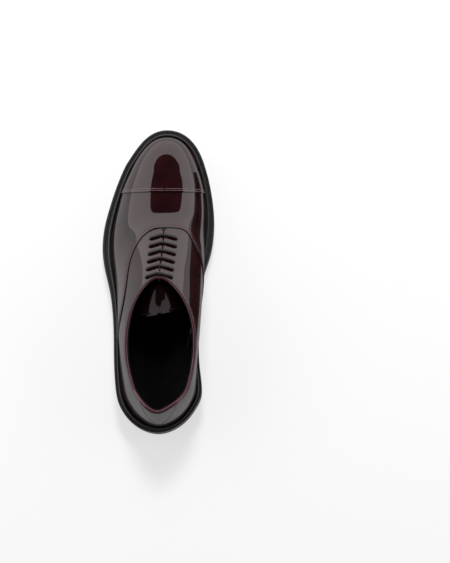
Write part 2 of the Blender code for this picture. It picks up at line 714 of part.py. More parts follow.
WELT_SECTION = ((0, WELT_BOTTOM), (0, -.3), (.05, 0), (.33, 0), (.37, -1.1), (.62, -1.1), (.66, .9),
                (.76, 1.8), (.9, 1.7), (1, .7), (1, WELT_BOTTOM))
verts, faces = [], []
m = len(WELT_SECTION)
for f, z in WELT_SECTION:
    verts += list(ring(OUT_EDGE - f * (OUT_EDGE - WELT_GAP), z))
for c in range(m):
    for i in range(LOOP_N):
        j, d = (i + 1) % LOOP_N, (c + 1) % m
        faces.append([c * LOOP_N + i, c * LOOP_N + j, d * LOOP_N + j, d * LOOP_N + i])
add_object("welt", verts, faces, BLACK, .5)
verts, faces = tube(ring(OUT_EDGE - .495 * (OUT_EDGE - WELT_GAP), -.5), .28, 4, closed=True)
add_object("welt_thread", verts, faces, (.03, .03, .03), .7)

# ---- bottom filling and insole -------------------------------------------------------------------
RIB = -LASTING_MARGIN - .4
loop_slab("cork_filler", ring(RIB, .6), ring(RIB, -LASTING_DROP), (.35, .2, .1), .9, 3, STATION[9])
INSOLE = (1.2, 4.2)
loop_slab("insole", ring(-8.4, INSOLE[1]), ring(-8.4, INSOLE[0]), TAN, .7)
loop_slab("sock_liner", ring(-8.8, 5.6), ring(-8.8, 4.5), BLACK, .6)


def shank():
    """Sprung steel strip in the waist."""
    verts, faces, n = [], [], 12
    for i in range(n):
        y = 0 - 92 * i / (n - 1)
        z = float(feather_z(y)) - 1.6
        w = 6.5
        x = -1.5 + 3 * i / (n - 1)
        verts += [(x - w, y, z - .7), (x + w, y, z - .7), (x + w, y, z + .7), (x - w, y, z + .7)]
    for i in range(n - 1):
        a, b = 4 * i, 4 * i + 4
        for j in range(4):
            k = (j + 1) % 4
            faces.append([a + j, b + j, b + k, a + k])
    faces.append([3, 2, 1, 0][::-1])
    faces.append([4 * n - 4 + j for j in range(4)][::-1])
    return add_object("shank", verts, faces, (.5, .5, .52), .4)


shank()
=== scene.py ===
"""Left cap-toe oxford in burnished oxblood leather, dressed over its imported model."""
import math

import bmesh
import bpy
import numpy as np
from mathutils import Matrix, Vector


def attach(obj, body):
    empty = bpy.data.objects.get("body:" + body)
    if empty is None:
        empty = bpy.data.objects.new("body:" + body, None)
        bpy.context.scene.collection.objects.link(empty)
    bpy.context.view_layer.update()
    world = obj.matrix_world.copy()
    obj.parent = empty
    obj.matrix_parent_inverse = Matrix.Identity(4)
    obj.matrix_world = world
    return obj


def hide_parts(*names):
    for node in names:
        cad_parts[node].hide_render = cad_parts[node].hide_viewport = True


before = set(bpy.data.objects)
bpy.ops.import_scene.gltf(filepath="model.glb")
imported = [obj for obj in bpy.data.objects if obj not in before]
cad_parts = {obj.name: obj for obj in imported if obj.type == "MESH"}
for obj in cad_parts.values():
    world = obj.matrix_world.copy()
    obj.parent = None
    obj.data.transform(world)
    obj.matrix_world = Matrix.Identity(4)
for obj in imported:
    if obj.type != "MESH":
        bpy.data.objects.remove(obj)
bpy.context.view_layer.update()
MM = 0.001

# ---- Studio: pale floor, light tent, front lamp, camera almost straight above --------------------
# The floor glows a little, as a lit sweep does, so that shadows stay faint.  Nothing hangs right
# above the shoe, and the polish mirrors that dark gap along the middle of the toe.
scene = bpy.context.scene
scene.view_settings.view_transform = "Standard"
scene.view_settings.look = "None"


def put(name, data):
    """New object in the scene."""
    ob = bpy.data.objects.new(name, data)
    scene.collection.objects.link(ob)
    return ob


camera = put("camera", bpy.data.cameras.new("camera"))
FRAME_WIDTH = .563                    # metres that the camera takes in along its longer side
elevation, distance, target = math.radians(83), 2.0, Vector((.067, 0, .025))
camera.location = target + distance * Vector((0, -math.cos(elevation), math.sin(elevation)))
camera.rotation_euler = (target - camera.location).to_track_quat("-Z", "Y").to_euler()
camera.data.sensor_width = 36
camera.data.lens = camera.data.sensor_width * distance / FRAME_WIDTH
scene.camera = camera

world = bpy.data.worlds.new("studio air")
scene.world = world
world.use_nodes = True


def wire(node, **sockets):
    """Set a node's input sockets, each to a value or to the (node, output) pair that feeds it."""
    for name, value in sockets.items():
        socket = node.inputs[name.replace("_", " ")]
        if isinstance(value, tuple) and isinstance(value[0], bpy.types.Node):
            node.id_data.links.new(value[0].outputs[value[1]], socket)
        else:
            socket.default_value = value
    return node


def new_finish(name):
    """New material, its node tree and its shader."""
    mat = bpy.data.materials.new(name)
    mat.use_nodes = True
    return mat, mat.node_tree, mat.node_tree.nodes["Principled BSDF"]


wire(world.node_tree.nodes["Background"], Color=(.9, .93, 1, 1), Strength=.04)

# tent radius and the height of its middle in metres, number of rings, angle of its foot from overhead
TENT_RADIUS, TENT_HEIGHT, TENT_STEPS, TENT_FOOT = 1.8, .05, 14, 93
# half-widths of the opening on the lateral side, on the medial side and ahead, per unit of height
OPEN_LATERAL, OPEN_MEDIAL, OPEN_AHEAD = .64, .92, .93
TENT_END, BACK_EDGE = 140, 72      # bearing where the wall ends, and its upper edge's angle there


def tent_edge(bearing):
    """Angle from overhead to the tent's upper edge: a rounded rectangle that widens toward the back."""
    across, ahead = math.sin(math.radians(bearing)), max(math.cos(math.radians(bearing)), 0)
    half_open = OPEN_LATERAL if bearing < 0 else OPEN_MEDIAL
    reach = ((abs(across) / half_open) ** 8 + (ahead / OPEN_AHEAD) ** 8) ** -.125
    plain = math.degrees(math.atan(reach))
    return plain + (BACK_EDGE - plain) * max(0, abs(bearing) - 90) / (TENT_END - 90)


# light tent: a white wall all round but at the back, open above; its upper edge shows in the polish
verts, faces = [], []
for i, bearing in enumerate(range(-TENT_END, TENT_END + 1, 4)):
    inner = tent_edge(bearing)
    for m in range(TENT_STEPS + 1):
        fall = math.radians(inner + (TENT_FOOT - inner) * m / TENT_STEPS)
        turn = math.radians(bearing)
        out = TENT_RADIUS * math.sin(fall)
        verts.append((out * math.sin(turn), out * math.cos(turn) + .03,
                      TENT_RADIUS * math.cos(fall) + TENT_HEIGHT))
        if i and m:
            p = i * (TENT_STEPS + 1) + m
            faces.append((p - 1, p, p - TENT_STEPS - 1, p - TENT_STEPS - 2))
tent_mesh = bpy.data.meshes.new("light tent")
tent_mesh.from_pydata(verts, [], faces)
tent = put("light tent", tent_mesh)
silk, tree, shader = new_finish("tent silk")
tree.nodes.remove(shader)
shine = wire(tree.nodes.new("ShaderNodeEmission"), Color=(1, .95, .96, 1), Strength=2.3)
wire(tree.nodes["Material Output"], Surface=(shine, "Emission"))
tent_mesh.materials.append(silk)
tent.visible_camera = tent.visible_shadow = False

floor_mesh = bpy.data.meshes.new("floor")
floor_corners = [(x, y, -.0002) for x, y in ((-6, -6), (6, -6), (6, 6), (-6, 6))]
floor_mesh.from_pydata(floor_corners, [], [(0, 1, 2, 3)])
floor = put("floor", floor_mesh)
paper, tree, shader = new_finish("studio paper")
wire(shader, Base_Color=(.25, .25, .25, 1), Roughness=1, Specular_IOR_Level=0, Emission_Color=(1, 1, 1, 1),
     Emission_Strength=.61)
floor_mesh.materials.append(paper)

# soft lamp in front, high up: it lays the one faint shadow, behind the heel
lamp = put("front lamp", bpy.data.lights.new("front lamp", "AREA"))
lamp.location, aim = (.03, .9, 1.5), Vector((.03, 0, 0))
lamp.rotation_euler = (aim - lamp.location).to_track_quat("-Z", "Y").to_euler()
lamp.data.size, lamp.data.energy = .35, 28
lamp.visible_glossy = False

# low black flag beside the shoe; only the polish sees it
flag_mesh = bpy.data.meshes.new("black flag")
box_faces = [(0, 1, 3, 2), (4, 6, 7, 5), (0, 4, 5, 1), (2, 3, 7, 6), (1, 5, 7, 3), (0, 2, 6, 4)]
flag_corners = [(x, y, z) for x in (.082, .2) for y in (-.16, .132) for z in (.001, .033)]
flag_mesh.from_pydata(flag_corners, [], box_faces)
flag = put("black flag", flag_mesh)
velvet, tree, shader = new_finish("flag velvet")
wire(shader, Base_Color=(.004, .003, .003, 1), Roughness=1)
flag_mesh.materials.append(velvet)
flag.visible_camera = flag.visible_diffuse = flag.visible_shadow = False

# ---- The last: the block of wood that the upper is pulled over ----------------------------------
# Every upper piece is a patch of its skin.  The skin runs from the feather line, where upper meets
# welt, to the ridge of the instep, and a patch is cut out of it as leather is cut with a pattern.
# ridge x, y, z in mm, tilt of the section in degrees
RIDGE = [(8.5, 146.0, 24.5, 90), (8.5, 143.4, 38, 66), (8.4, 134.5, 45.9, 42), (8.2, 121, 50.3, 18),
         (8.0, 104, 54, 3), (7.6, 89, 56.3, 0), (7.2, 70, 59.3, 0), (7.0, 52, 64.9, 0), (6.5, 32, 76.6, 0),
         (4.8, 12, 89.8, 0), (3.2, -8, 103, 0), (2.8, -32, 116, 0), (2.6, -58, 127, 0), (2.3, -84, 133, 0)]
RIDGE += [(2.0, -108, 135, 0)] * 5
# feather x, y, then how far each section swells outward and upward, and how broad its top is
LATERAL = [(-23, 120, 0, 18, 13.5), (-24.6, 117.5, .5, 18, 17.5), (-26.6, 114, 1, 18.5, 21),
           (-29, 109, 1.5, 20, 24), (-32, 102, 2, 20, 27), (-36.7, 89, 2, 20, 29), (-42, 70, 1.5, 22, 29),
           (-45.6, 52, 1, 26, 27), (-46.6, 32, 0, 34, 24), (-44.3, 12, 0, 44, 22), (-41.2, -8, 2, 52, 20),
           (-39, -32, 4, 60, 18), (-37.8, -58, 4, 58, 13), (-36.8, -84, 0, 56, 8)]
MEDIAL = [(38.6, 117.5, 0, 15, 17), (39.6, 114.5, .5, 16, 20), (40.6, 111.5, 1, 18, 22),
          (41.8, 107.5, 1.5, 20, 24), (43.2, 102, 2, 20, 27), (45.5, 89, 2, 20, 29), (47.2, 70, 1.5, 22, 28),
          (46.8, 52, 2, 28, 26), (44.4, 32, 10, 38, 23), (40.5, 12, 19, 48, 20), (37.8, -8, 24, 56, 18),
          (36.4, -32, 24.5, 62, 17), (36.2, -58, 20.5, 62, 16), (36.4, -84, 14, 60, 14)]
HEEL_PIVOT = (2.0, -108.0)
HEEL = [(36.9, (-6, 54, 3), (3, 56, 9)), (35.8, (-7, 54, 2), (1, 55, 6)), (35.7, (-5, 54, 3), (0, 55, 4)),
        (36.6, (-1, 54, 5), (0, 54, 5)), (37.4, (2, 54, 7), (2, 54, 7))]
FEATHER_Z = ((-155, 34), (-110, 33.5), (-75, 31.5), (-45, 27), (-15, 21), (15, 17), (45, 15.5), (75, 15.8),
             (105, 18), (130, 21.5), (158, 25.5))
TOPLINE_Z = ((9, 103), (9.8, 101.2), (10.4, 101), (11, 98.5), (12, 88.5), (13, 81), (14, 82.5),
             (15, 85.5), (16, 89), (17, 91.5), (18, 92.5))
MOUTH_K = 8.4                         # station where the mouth of the shoe starts
CAP_SEAM_Y, CAP_SEAM_LEAN, CAP_SEAM_Z = 85.4, .1, 56.3
# vamp seam on the flattened upper: ridge y, distance from the ridge (minus is lateral)
VAMP_SEAM = ((-62, -113), (-54, -88), (-42, -64), (-24, -48), (-2, -40.6), (17, -35), (31, -28),
             (41, -19.5), (46.4, -10), (48, 0), (48, 12), (46, 21.4), (40, 28.2), (30.4, 36.8), (22, 46),
             (12, 57), (-4, 71), (-22, 85), (-42, 101), (-60, 118))
EYELET_Q, EYELET_R, EYELET_ROWS, THROAT_Y, ROW_PITCH = 12.9, 1.75, 6, 36.4, 8.25
# heel tab: height of its tip, height and half width of the V, its middle line
TAB_TIP_Z, TAB_HEIGHT, TAB_WIDTH, TAB_X = 59.0, 31.0, 19.0, 3.6
K_END = len(RIDGE) - 1


def row_y(row):
    """Place along the instep of a lace row, counted from the throat."""
    return THROAT_Y - (row - 1) * ROW_PITCH


def spline(xs, ys):
    """Natural cubic spline through points; each y may be a row of values."""
    x = np.array(xs, float)
    y = np.array(ys, float)
    n = len(x)
    h = np.diff(x)
    a = np.eye(n)
    b = np.zeros(y.shape)
    for i in range(1, n - 1):
        a[i, i - 1:i + 2] = h[i - 1], 2 * (h[i - 1] + h[i]), h[i]
        b[i] = 6 * ((y[i + 1] - y[i]) / h[i] - (y[i] - y[i - 1]) / h[i - 1])
    m = np.linalg.solve(a, b)

    def value(t):
        t = np.asarray(t, float)
        k = np.clip(np.searchsorted(x, t) - 1, 0, n - 2)
        w = h[k]
        u = (x[k + 1] - t) / w
        v = (t - x[k]) / w
        if y.ndim > 1:
            u, v, w = u[..., None], v[..., None], w[..., None]
        return u * y[k] + v * y[k + 1] + ((u ** 3 - u) * m[k] + (v ** 3 - v) * m[k + 1]) * w * w / 6
    return value


def stations():
    """Rows of ridge and feather values round the last: lateral toe, heel, medial toe."""
    lateral, medial = list(LATERAL), list(MEDIAL)
    for i, (r, hl, hm) in enumerate(HEEL):
        c, s = math.cos(math.radians(22.5 * i)), math.sin(math.radians(22.5 * i))
        rm = r - 0.6 * c
        lateral.append((HEEL_PIVOT[0] - r * c, HEEL_PIVOT[1] - r * s, *hl))
        medial.append((HEEL_PIVOT[0] + rm * c, HEEL_PIVOT[1] - rm * s, *hm))
    rows = [(*RIDGE[k], *lateral[k]) for k in range(K_END + 1)]
    return rows + [(*RIDGE[k], *medial[k]) for k in range(K_END - 1, -1, -1)]


section = spline(range(2 * K_END + 1), stations())
feather_z = spline(*zip(*FEATHER_Z))
topline_z = spline(*zip(*TOPLINE_Z))


def last_surface(s, t):
    """Outer face of the upper: s runs round the feather line, t from there up to the ridge."""
    s = np.asarray(s, float)
    p = section(s)
    run = (section(np.clip(s + .001, 0, 2 * K_END)) - section(np.clip(s - .001, 0, 2 * K_END)))[..., 4:6]
    run = run / np.linalg.norm(run, axis=-1, keepdims=True)
    zero = np.zeros_like(s)
    lateral = s < K_END
    k = np.minimum(s, 2 * K_END - s)
    foot = np.stack([p[..., 4], p[..., 5], feather_z(p[..., 5])], -1)
    ridge = p[..., 0:3]
    out = np.stack([run[..., 1], -run[..., 0], zero], -1)
    fore = np.stack([run[..., 0], run[..., 1], zero], -1) * np.where(lateral, -1.0, 1.0)[..., None]
    tilt = np.radians(p[..., 3])[..., None]
    up = fore * np.sin(tilt) + np.array([0, 0, 1.0]) * np.cos(tilt)
    p1 = foot + p[..., 6:7] * out + p[..., 7:8] * up
    away = foot - ridge
    away[..., 2] = 0
    away /= np.maximum(np.linalg.norm(away, axis=-1, keepdims=True), 1e-9)
    side = np.where(lateral, -1.0, 1.0)[..., None] * np.array([1.0, 0, 0])
    w = np.clip((k - 12.5) / 2.0, 0, 1)[..., None]
    e = side * (1 - w) + away * w
    p2 = ridge + p[..., 8:9] * e / np.linalg.norm(e, axis=-1, keepdims=True)
    t = np.asarray(t, float)[..., None]
    u = 1 - t
    return u ** 3 * foot + 3 * u * u * t * p1 + 3 * u * t * t * p2 + t ** 3 * ridge


# what every point of the skin knows, in mm: place, normal, then its distance to each pattern line
POS, VEC = slice(0, 3), slice(3, 6)
CAP, VAMP, TOP, Q, YR, UP, SIDE, TAB, K, HOLE = range(6, 16)
WIDTH = 16


def surface_slope(points, f):
    """Size of the gradient of f over a grid of surface points."""
    a, b = np.gradient(points, axis=0), np.gradient(points, axis=1)
    fa, fb = np.gradient(f, axis=0), np.gradient(f, axis=1)
    aa, ab, bb = (a * a).sum(-1), (a * b).sum(-1), (b * b).sum(-1)
    det = np.maximum(aa * bb - ab * ab, 1e-9)
    return np.sqrt(np.maximum((fa * fa * bb - 2 * fa * fb * ab + fb * fb * aa) / det, 1e-9))


def make_skin(columns, rows):
    """Grid of skin points with their pattern distances."""
    cols = np.array(list(columns) + [2 * K_END - k for k in list(columns)[-2::-1]])
    rows = np.array(rows)
    s, t = np.meshgrid(cols, rows, indexing="ij")
    p = last_surface(s, t)
    edge_z = feather_z(p[..., 1])
    p[:, 0, 2] = edge_z[:, 0]
    p[0, :, 2], p[-1, :, 2] = edge_z[0], edge_z[-1]
    skin = np.zeros((*s.shape, WIDTH))
    n = np.cross(np.gradient(p, axis=0), np.gradient(p, axis=1))
    ridge_row = n[:, -1] + n[::-1, -1]
    n[:, -1] = ridge_row
    n /= np.maximum(np.linalg.norm(n, axis=-1, keepdims=True), 1e-12)
    k = np.minimum(s, 2 * K_END - s)
    steps = np.linalg.norm(np.diff(p, axis=1), axis=-1)
    q = np.concatenate([np.cumsum(steps[:, ::-1], axis=1)[:, ::-1], np.zeros((len(cols), 1))], axis=1)
    side = np.where(s < K_END, -1.0, 1.0)
    ridge_y = section(s)[..., 1]
    curve = spline(range(len(VAMP_SEAM)), VAMP_SEAM)(np.linspace(0, len(VAMP_SEAM) - 1, 500))
    order = np.argsort(curve[:, 1])
    flat_q = side * q
    near = np.full(s.shape, 1e9)
    for c in curve:
        near = np.minimum(near, (ridge_y - c[0]) ** 2 + (flat_q - c[1]) ** 2)
    behind = ridge_y < np.interp(flat_q, curve[order, 1], curve[order, 0])
    below = topline_z(k) - p[..., 2]
    top = np.where(k > MOUTH_K, below / np.clip(surface_slope(p, below), .35, 3), 30.0)
    reach = np.maximum(0, (p[..., 2] - TAB_TIP_Z) / TAB_HEIGHT)
    tab = np.where(K_END - k < 4.1, TAB_WIDTH * reach ** .75 - np.abs(p[..., 0] - TAB_X), -30.0)
    hole = np.full(s.shape, 50.0)
    for row in range(1, EYELET_ROWS + 1):
        hole = np.minimum(hole, np.hypot(ridge_y - row_y(row), q - EYELET_Q) - EYELET_R)
    skin[..., POS], skin[..., VEC] = p, n
    cap = CAP_SEAM_Y + CAP_SEAM_LEAN * (CAP_SEAM_Z - p[..., 2]) - p[..., 1]
    for column, value in ((CAP, cap), (VAMP, np.where(behind, 1, -1) * np.sqrt(near)),
                          (TOP, top), (Q, q), (YR, ridge_y), (UP, p[..., 2] - edge_z), (SIDE, side),
                          (TAB, tab), (K, k), (HOLE, hole)):
        skin[..., column] = value
    return skin


fine_columns = np.concatenate([np.arange(0, 7.4, .1), np.arange(7.4, 10.4, .04), np.arange(10.4, 18.01, .1)])
fine_rows = np.concatenate([np.linspace(0, .74, 44), np.linspace(.75, 1, 36)])
SKIN = make_skin(fine_columns, fine_rows)
coarse_columns = np.concatenate([np.arange(0, 7.4, .2), np.arange(7.4, 10.4, .12),
                                 np.arange(10.4, 18.01, .2)])
coarse_rows = np.concatenate([np.linspace(0, .74, 24), np.linspace(.76, 1, 18)])
COARSE = make_skin(coarse_columns, coarse_rows)


def patch(skin, *cuts):
    """Faces of the skin left by cuts of (column, level, +1 above or -1 below)."""
    ni, nj = skin.shape[:2]
    i, j = np.meshgrid(np.arange(ni - 1), np.arange(nj - 1), indexing="ij")
    corner = np.stack([skin[i, j], skin[i + 1, j], skin[i + 1, j + 1], skin[i, j + 1]], axis=2)
    corner = corner.reshape(-1, 4, WIDTH)
    corner[..., SIDE] = np.where(i.ravel() < (ni - 1) // 2, -1.0, 1.0)[:, None]
    whole = np.ones(len(corner), bool)
    some = np.ones(len(corner), bool)
    for column, level, keep in cuts:
        v = (corner[..., column] - level) * keep
        whole &= (v >= 0).all(axis=1)
        some &= (v > 0).any(axis=1)
    faces = list(corner[whole])
    for face in corner[some & ~whole]:
        face = list(face)
        for column, level, keep in cuts:
            ring = []
            for a, b in zip(face, face[1:] + face[:1]):
                va, vb = (a[column] - level) * keep, (b[column] - level) * keep
                if va >= 0:
                    ring.append(a)
                if va * vb < 0:
                    if tuple(b[POS]) < tuple(a[POS]):
                        a, b, va, vb = b, a, vb, va
                    ring.append(a + (b - a) * (va / (va - vb)))
            face = ring
            if len(face) < 3:
                break
        if len(face) > 2:
            faces.append(np.array(face))
    return faces


def finish_mesh(name, verts, faces, material, edge=None):
    """Object in metres with smooth faces, its finish and, if given, its distance-to-edge attribute."""
    mesh = bpy.data.meshes.new(name)
    mesh.from_pydata((np.array(verts) * MM).tolist(), [], faces)
    mesh.update()
    mesh.materials.append(material)
    mesh.shade_smooth()
    if edge is not None:
        layer = mesh.attributes.new("edge_mm", "FLOAT", "POINT")
        layer.data.foreach_set("value", np.array(edge, np.float32))
    return put(name, mesh)


def leather_sheet(name, faces, inner, outer, material, edge_of, swell=.5, rim_highlight_of=None):
    """Closed sheet between two depths of the skin, its cut edges rounded over."""
    index, rows, polys = {}, [], []
    for face in faces:
        ids = []
        for v in face:
            key = (round(v[0], 3), round(v[1], 3), round(v[2], 3))
            if key not in index:
                index[key] = len(rows)
                rows.append(v)
            if index[key] not in ids:
                ids.append(index[key])
        if len(ids) > 2:
            polys.append(ids)
    rows = np.array(rows)
    n = len(rows)
    low = np.broadcast_to(inner(rows) if callable(inner) else inner, n)
    high = np.broadcast_to(outer(rows) if callable(outer) else outer, n)
    base, vec = rows[:, POS], rows[:, VEC]
    edge = edge_of(rows)
    # rim_highlight_of marks the rounded rims; below zero the finish paints them lighter red, partly a painted
    # highlight
    rim_edge_and_highlight = edge if rim_highlight_of is None else rim_highlight_of(rows)
    border = {}
    for p in polys:
        for a, b in zip(p, p[1:] + p[:1]):
            border[(a, b)] = True
    border = [(a, b) for a, b in border if (b, a) not in border]
    aside = np.zeros((n, 3))
    for a, b in border:
        d = np.cross(base[b] - base[a], vec[a])
        d /= max(np.linalg.norm(d), 1e-9)
        aside[a] += d
        aside[b] += d
    size = np.linalg.norm(aside, axis=1)
    aside[size > 0] /= size[size > 0, None]
    verts = [base + vec * high[:, None], base + vec * low[:, None]]
    edges = [edge, edge]
    out = polys + [[i + n for i in reversed(p)] for p in polys]
    rim = sorted({i for pair in border for i in pair})
    where = {v: i for i, v in enumerate(rim)}
    levels = []
    for a in (45, 90, 135):
        c, s = math.cos(math.radians(a)), math.sin(math.radians(a))
        mid = (high + low) / 2
        half = (high - low) / 2
        ring = base + vec * (mid + half * c)[:, None] + aside * (half * s * swell)[:, None]
        levels.append(2 * n + len(rim) * len(levels))
        verts.append(ring[rim])
        edges.append(rim_edge_and_highlight[rim])
    for a, b in border:
        chain_a = [a] + [level + where[a] for level in levels] + [a + n]
        chain_b = [b] + [level + where[b] for level in levels] + [b + n]
        for m in range(4):
            out.append([chain_b[m], chain_a[m], chain_a[m + 1], chain_b[m + 1]])
    return finish_mesh(name, np.vstack(verts), out, material, np.concatenate(edges))


def pattern_line(column, level, keep, pitch, lift, grid=None):
    """Points every pitch along a line of the skin where a column has a level: place, along, up."""
    grid = SKIN if grid is None else grid
    f = grid[..., column] - level
    points, link = {}, {}

    def crossing(i0, j0, i1, j1):
        key = (i0, j0, i1, j1)
        if key not in points:
            w = f[i0, j0] / (f[i0, j0] - f[i1, j1])
            points[key] = grid[i0, j0] + (grid[i1, j1] - grid[i0, j0]) * w
        return key

    sign = f > 0
    first = sign[:-1, :-1]
    mixed = (first != sign[1:, :-1]) | (first != sign[1:, 1:]) | (first != sign[:-1, 1:])
    for i, j in zip(*np.nonzero(mixed)):
        hits = []
        for a in ((i, j, i + 1, j), (i + 1, j, i + 1, j + 1), (i, j + 1, i + 1, j + 1), (i, j, i, j + 1)):
            if sign[a[0], a[1]] != sign[a[2], a[3]]:
                hits.append(crossing(*a))
        for a, b in zip(hits[::2], hits[1::2]):
            link.setdefault(a, []).append(b)
            link.setdefault(b, []).append(a)
    done, spots = set(), []
    starts = [k for k in link if len(link[k]) == 1] + list(link)
    for start in starts:
        if start in done:
            continue
        chain, at = [], start
        while at is not None:
            done.add(at)
            chain.append(points[at])
            at = next((b for b in link[at] if b not in done), None)
        rows = np.array(chain)
        if len(rows) < 3:
            continue
        place = rows[:, POS] + rows[:, VEC] * lift(rows)[:, None]
        run = np.concatenate([[0], np.cumsum(np.linalg.norm(np.diff(place, axis=0), axis=1))])
        count = int(run[-1] / pitch)
        for m in range(count):
            w = (m + .5) * pitch
            row = np.array([np.interp(w, run, rows[:, c]) for c in range(WIDTH)])
            if not keep(row):
                continue
            here = np.array([np.interp(w, run, place[:, c]) for c in range(3)])
            ahead = np.array([np.interp(min(w + .3, run[-1]), run, place[:, c]) for c in range(3)])
            back = np.array([np.interp(max(w - .3, 0), run, place[:, c]) for c in range(3)])
            along = ahead - back
            if np.linalg.norm(along) > 1e-6:
                spots.append((here, along / np.linalg.norm(along), row[VEC]))
    return spots


def clouds(tree, place, scale, detail=2, **more):
    """Soft noise, as a (node, output) pair like all that follow."""
    noise = wire(tree.nodes.new("ShaderNodeTexNoise"), Vector=place, Scale=scale, Detail=detail, **more)
    return noise, "Fac"


def two_tone(tree, source, low, high, start=0, stop=1):
    """Colour that goes from low to high as the source goes from start to stop."""
    blend = wire(tree.nodes.new("ShaderNodeValToRGB"), Fac=source)
    ends = blend.color_ramp.elements
    ends[0].position, ends[1].position = start, stop
    ends[0].color, ends[1].color = (*low, 1), (*high, 1)
    return blend, "Color"


def remap(tree, source, low, high, start=0, stop=1):
    """Value that goes from low to high as the source goes from start to stop."""
    scale = wire(tree.nodes.new("ShaderNodeMapRange"), Value=source, From_Min=start, From_Max=stop,
                 To_Min=low, To_Max=high)
    return scale, "Result"


def emboss(tree, source, strength, depth, **under):
    """Relief from the source, laid over another relief if one is given."""
    relief = wire(tree.nodes.new("ShaderNodeBump"), Height=source, Strength=strength, Distance=depth, **under)
    return relief, "Normal"


def burnished_leather(name, deep, bright, gloss=1.0):
    """Box-calf finish: dark stain under a polished coat, darker rubbed edges, lighter red rims that are
    partly the edge's own tone and partly a painted highlight, very fine grain.
    """
    mat, tree, shader = new_finish(name)
    place = tree.nodes.new("ShaderNodeTexCoord"), "Object"
    cloud = clouds(tree, place, 55, 5, Roughness=.6)
    edge = tree.nodes.new("ShaderNodeAttribute")
    edge.attribute_name = "edge_mm"
    rub = remap(tree, (edge, "Fac"), .5, 0, 0, 4)
    stain = two_tone(tree, cloud, deep, bright, .3, .72)
    darken = wire(tree.nodes.new("ShaderNodeMixRGB"), Fac=rub, Color1=stain, Color2=(.22, .12, .14, 1))
    darken.blend_type = "MULTIPLY"
    # lighter red on the rounded rims (edge_mm below zero): partly the cut edge's own tone, partly a painted
    # highlight where the edge catches light
    rim_highlight = remap(tree, (edge, "Fac"), 1, 0, -1, -.05)
    rim_highlight_tint = wire(tree.nodes.new("ShaderNodeMixRGB"), Fac=rim_highlight, Color1=(darken, "Color"),
                  Color2=(.045, .010, .015, 1))
    pores = wire(tree.nodes.new("ShaderNodeTexVoronoi"), Vector=place, Scale=1900)
    creases = clouds(tree, place, 320, 4)
    fine = emboss(tree, (pores, "Distance"), .2, .00006)
    soft = emboss(tree, clouds(tree, place, 22, 2), .5, .0005)
    glance = tree.nodes.new("ShaderNodeLayerWeight"), "Facing"
    wire(shader, Base_Color=(rim_highlight_tint, "Color"), Normal=emboss(tree, creases, .15, .00015, Normal=fine),
         Coat_Normal=emboss(tree, creases, .05, .00008, Normal=soft), Roughness=remap(tree, cloud, .3, .46),
         Coat_Weight=remap(tree, glance, gloss, .22 * gloss, .45, .85), Coat_Roughness=.04, Coat_IOR=1.5,
         Specular_IOR_Level=.02)
    return mat


def ramp(column, xs, ys):
    """Depth that follows a column of the skin."""
    return lambda rows: np.interp(rows[:, column], xs, ys)


oxblood = burnished_leather("oxblood calf", (.004, .0005, .0007), (.0125, .0014, .0021))
LEATHER, LAP = 1.6, 7.0               # thickness of the leather, width of a lap
CAP_RISE, VAMP_RISE = 26, 20          # how far from the lapped edge the surface starts to rise

# ---- Toe cap: one piece of oxblood calf pulled over the toe --------------------------------------
# Its back edge is skived, laid over the vamp and held by two rows of stitches.
lapped_in = lambda c: ramp(c, (-9, -7.3, 0), (-LEATHER, -.3, .25))


def over_lap(c, width):
    """Gentle rise toward a lapped edge, where one thickness rides on the other."""
    w = np.clip(1 + c / width, 0, 1)
    return .8 * w * w * (3 - 2 * w)


lapped_out = lambda c: lambda rows: over_lap(rows[:, c], CAP_RISE)
# the cap's whole rim is painted lighter red: partly a painted highlight along the lapped edge, partly the
# edge's own tone
toe_cap = leather_sheet("toe_cap_calf", patch(SKIN, (CAP, 0, -1)), lapped_in(CAP), lapped_out(CAP), oxblood,
                        lambda r: np.minimum(.3 - r[:, CAP], r[:, UP]), .5, lambda r: np.full(len(r), -.6))
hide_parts("toe_cap")
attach(toe_cap, "shoe")

# ---- Vamp: the piece over the ball of the foot ----------------------------------------------------
# It runs under the cap in front, and laps over both quarters along the long swan-neck seam.
vamp_out = lambda r: np.interp(r[:, CAP], (-LAP, 0), (-.6, 0)) + over_lap(r[:, VAMP], VAMP_RISE)
vamp_edge = lambda r: np.minimum(np.minimum(.3 - r[:, VAMP], np.maximum(r[:, CAP], 0)), r[:, UP])
# the vamp's whole rim is painted a little lighter red: partly a painted highlight along the lapped edge,
# partly the edge's own tone
vamp = leather_sheet("vamp_calf", patch(SKIN, (VAMP, 0, -1), (CAP, -LAP, 1)), lapped_in(VAMP), vamp_out,
                     oxblood, vamp_edge, .5, lambda r: np.full(len(r), -.3))
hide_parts("vamp")
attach(vamp, "shoe")

# ---- Quarters: lateral and medial side pieces with the lacing edges -------------------------------
# Closed down the back, they meet edge to edge over the instep; six lace holes are punched in each.
# The leather is folded over along the topline, which leaves a rounded rim; its lighter red is partly the
# edge's own tone and partly a painted highlight where the edge catches light.
FACING_GAP = .95                      # from the ridge to each facing's edge
quarter_out = ramp(VAMP, (-LAP, 0), (-.6, 0))
quarter_in = ramp(TOP, (1.5, 5), (-2.7, -LEATHER))


def quarter_edge(r):
    """Distance to the nearest edge of a quarter, where the finish wears dark."""
    opening = np.minimum(r[:, Q] + 1, r[:, HOLE] * 1.6)
    return np.maximum(np.minimum(np.minimum(r[:, VAMP], r[:, TOP] + 1), opening), 0)


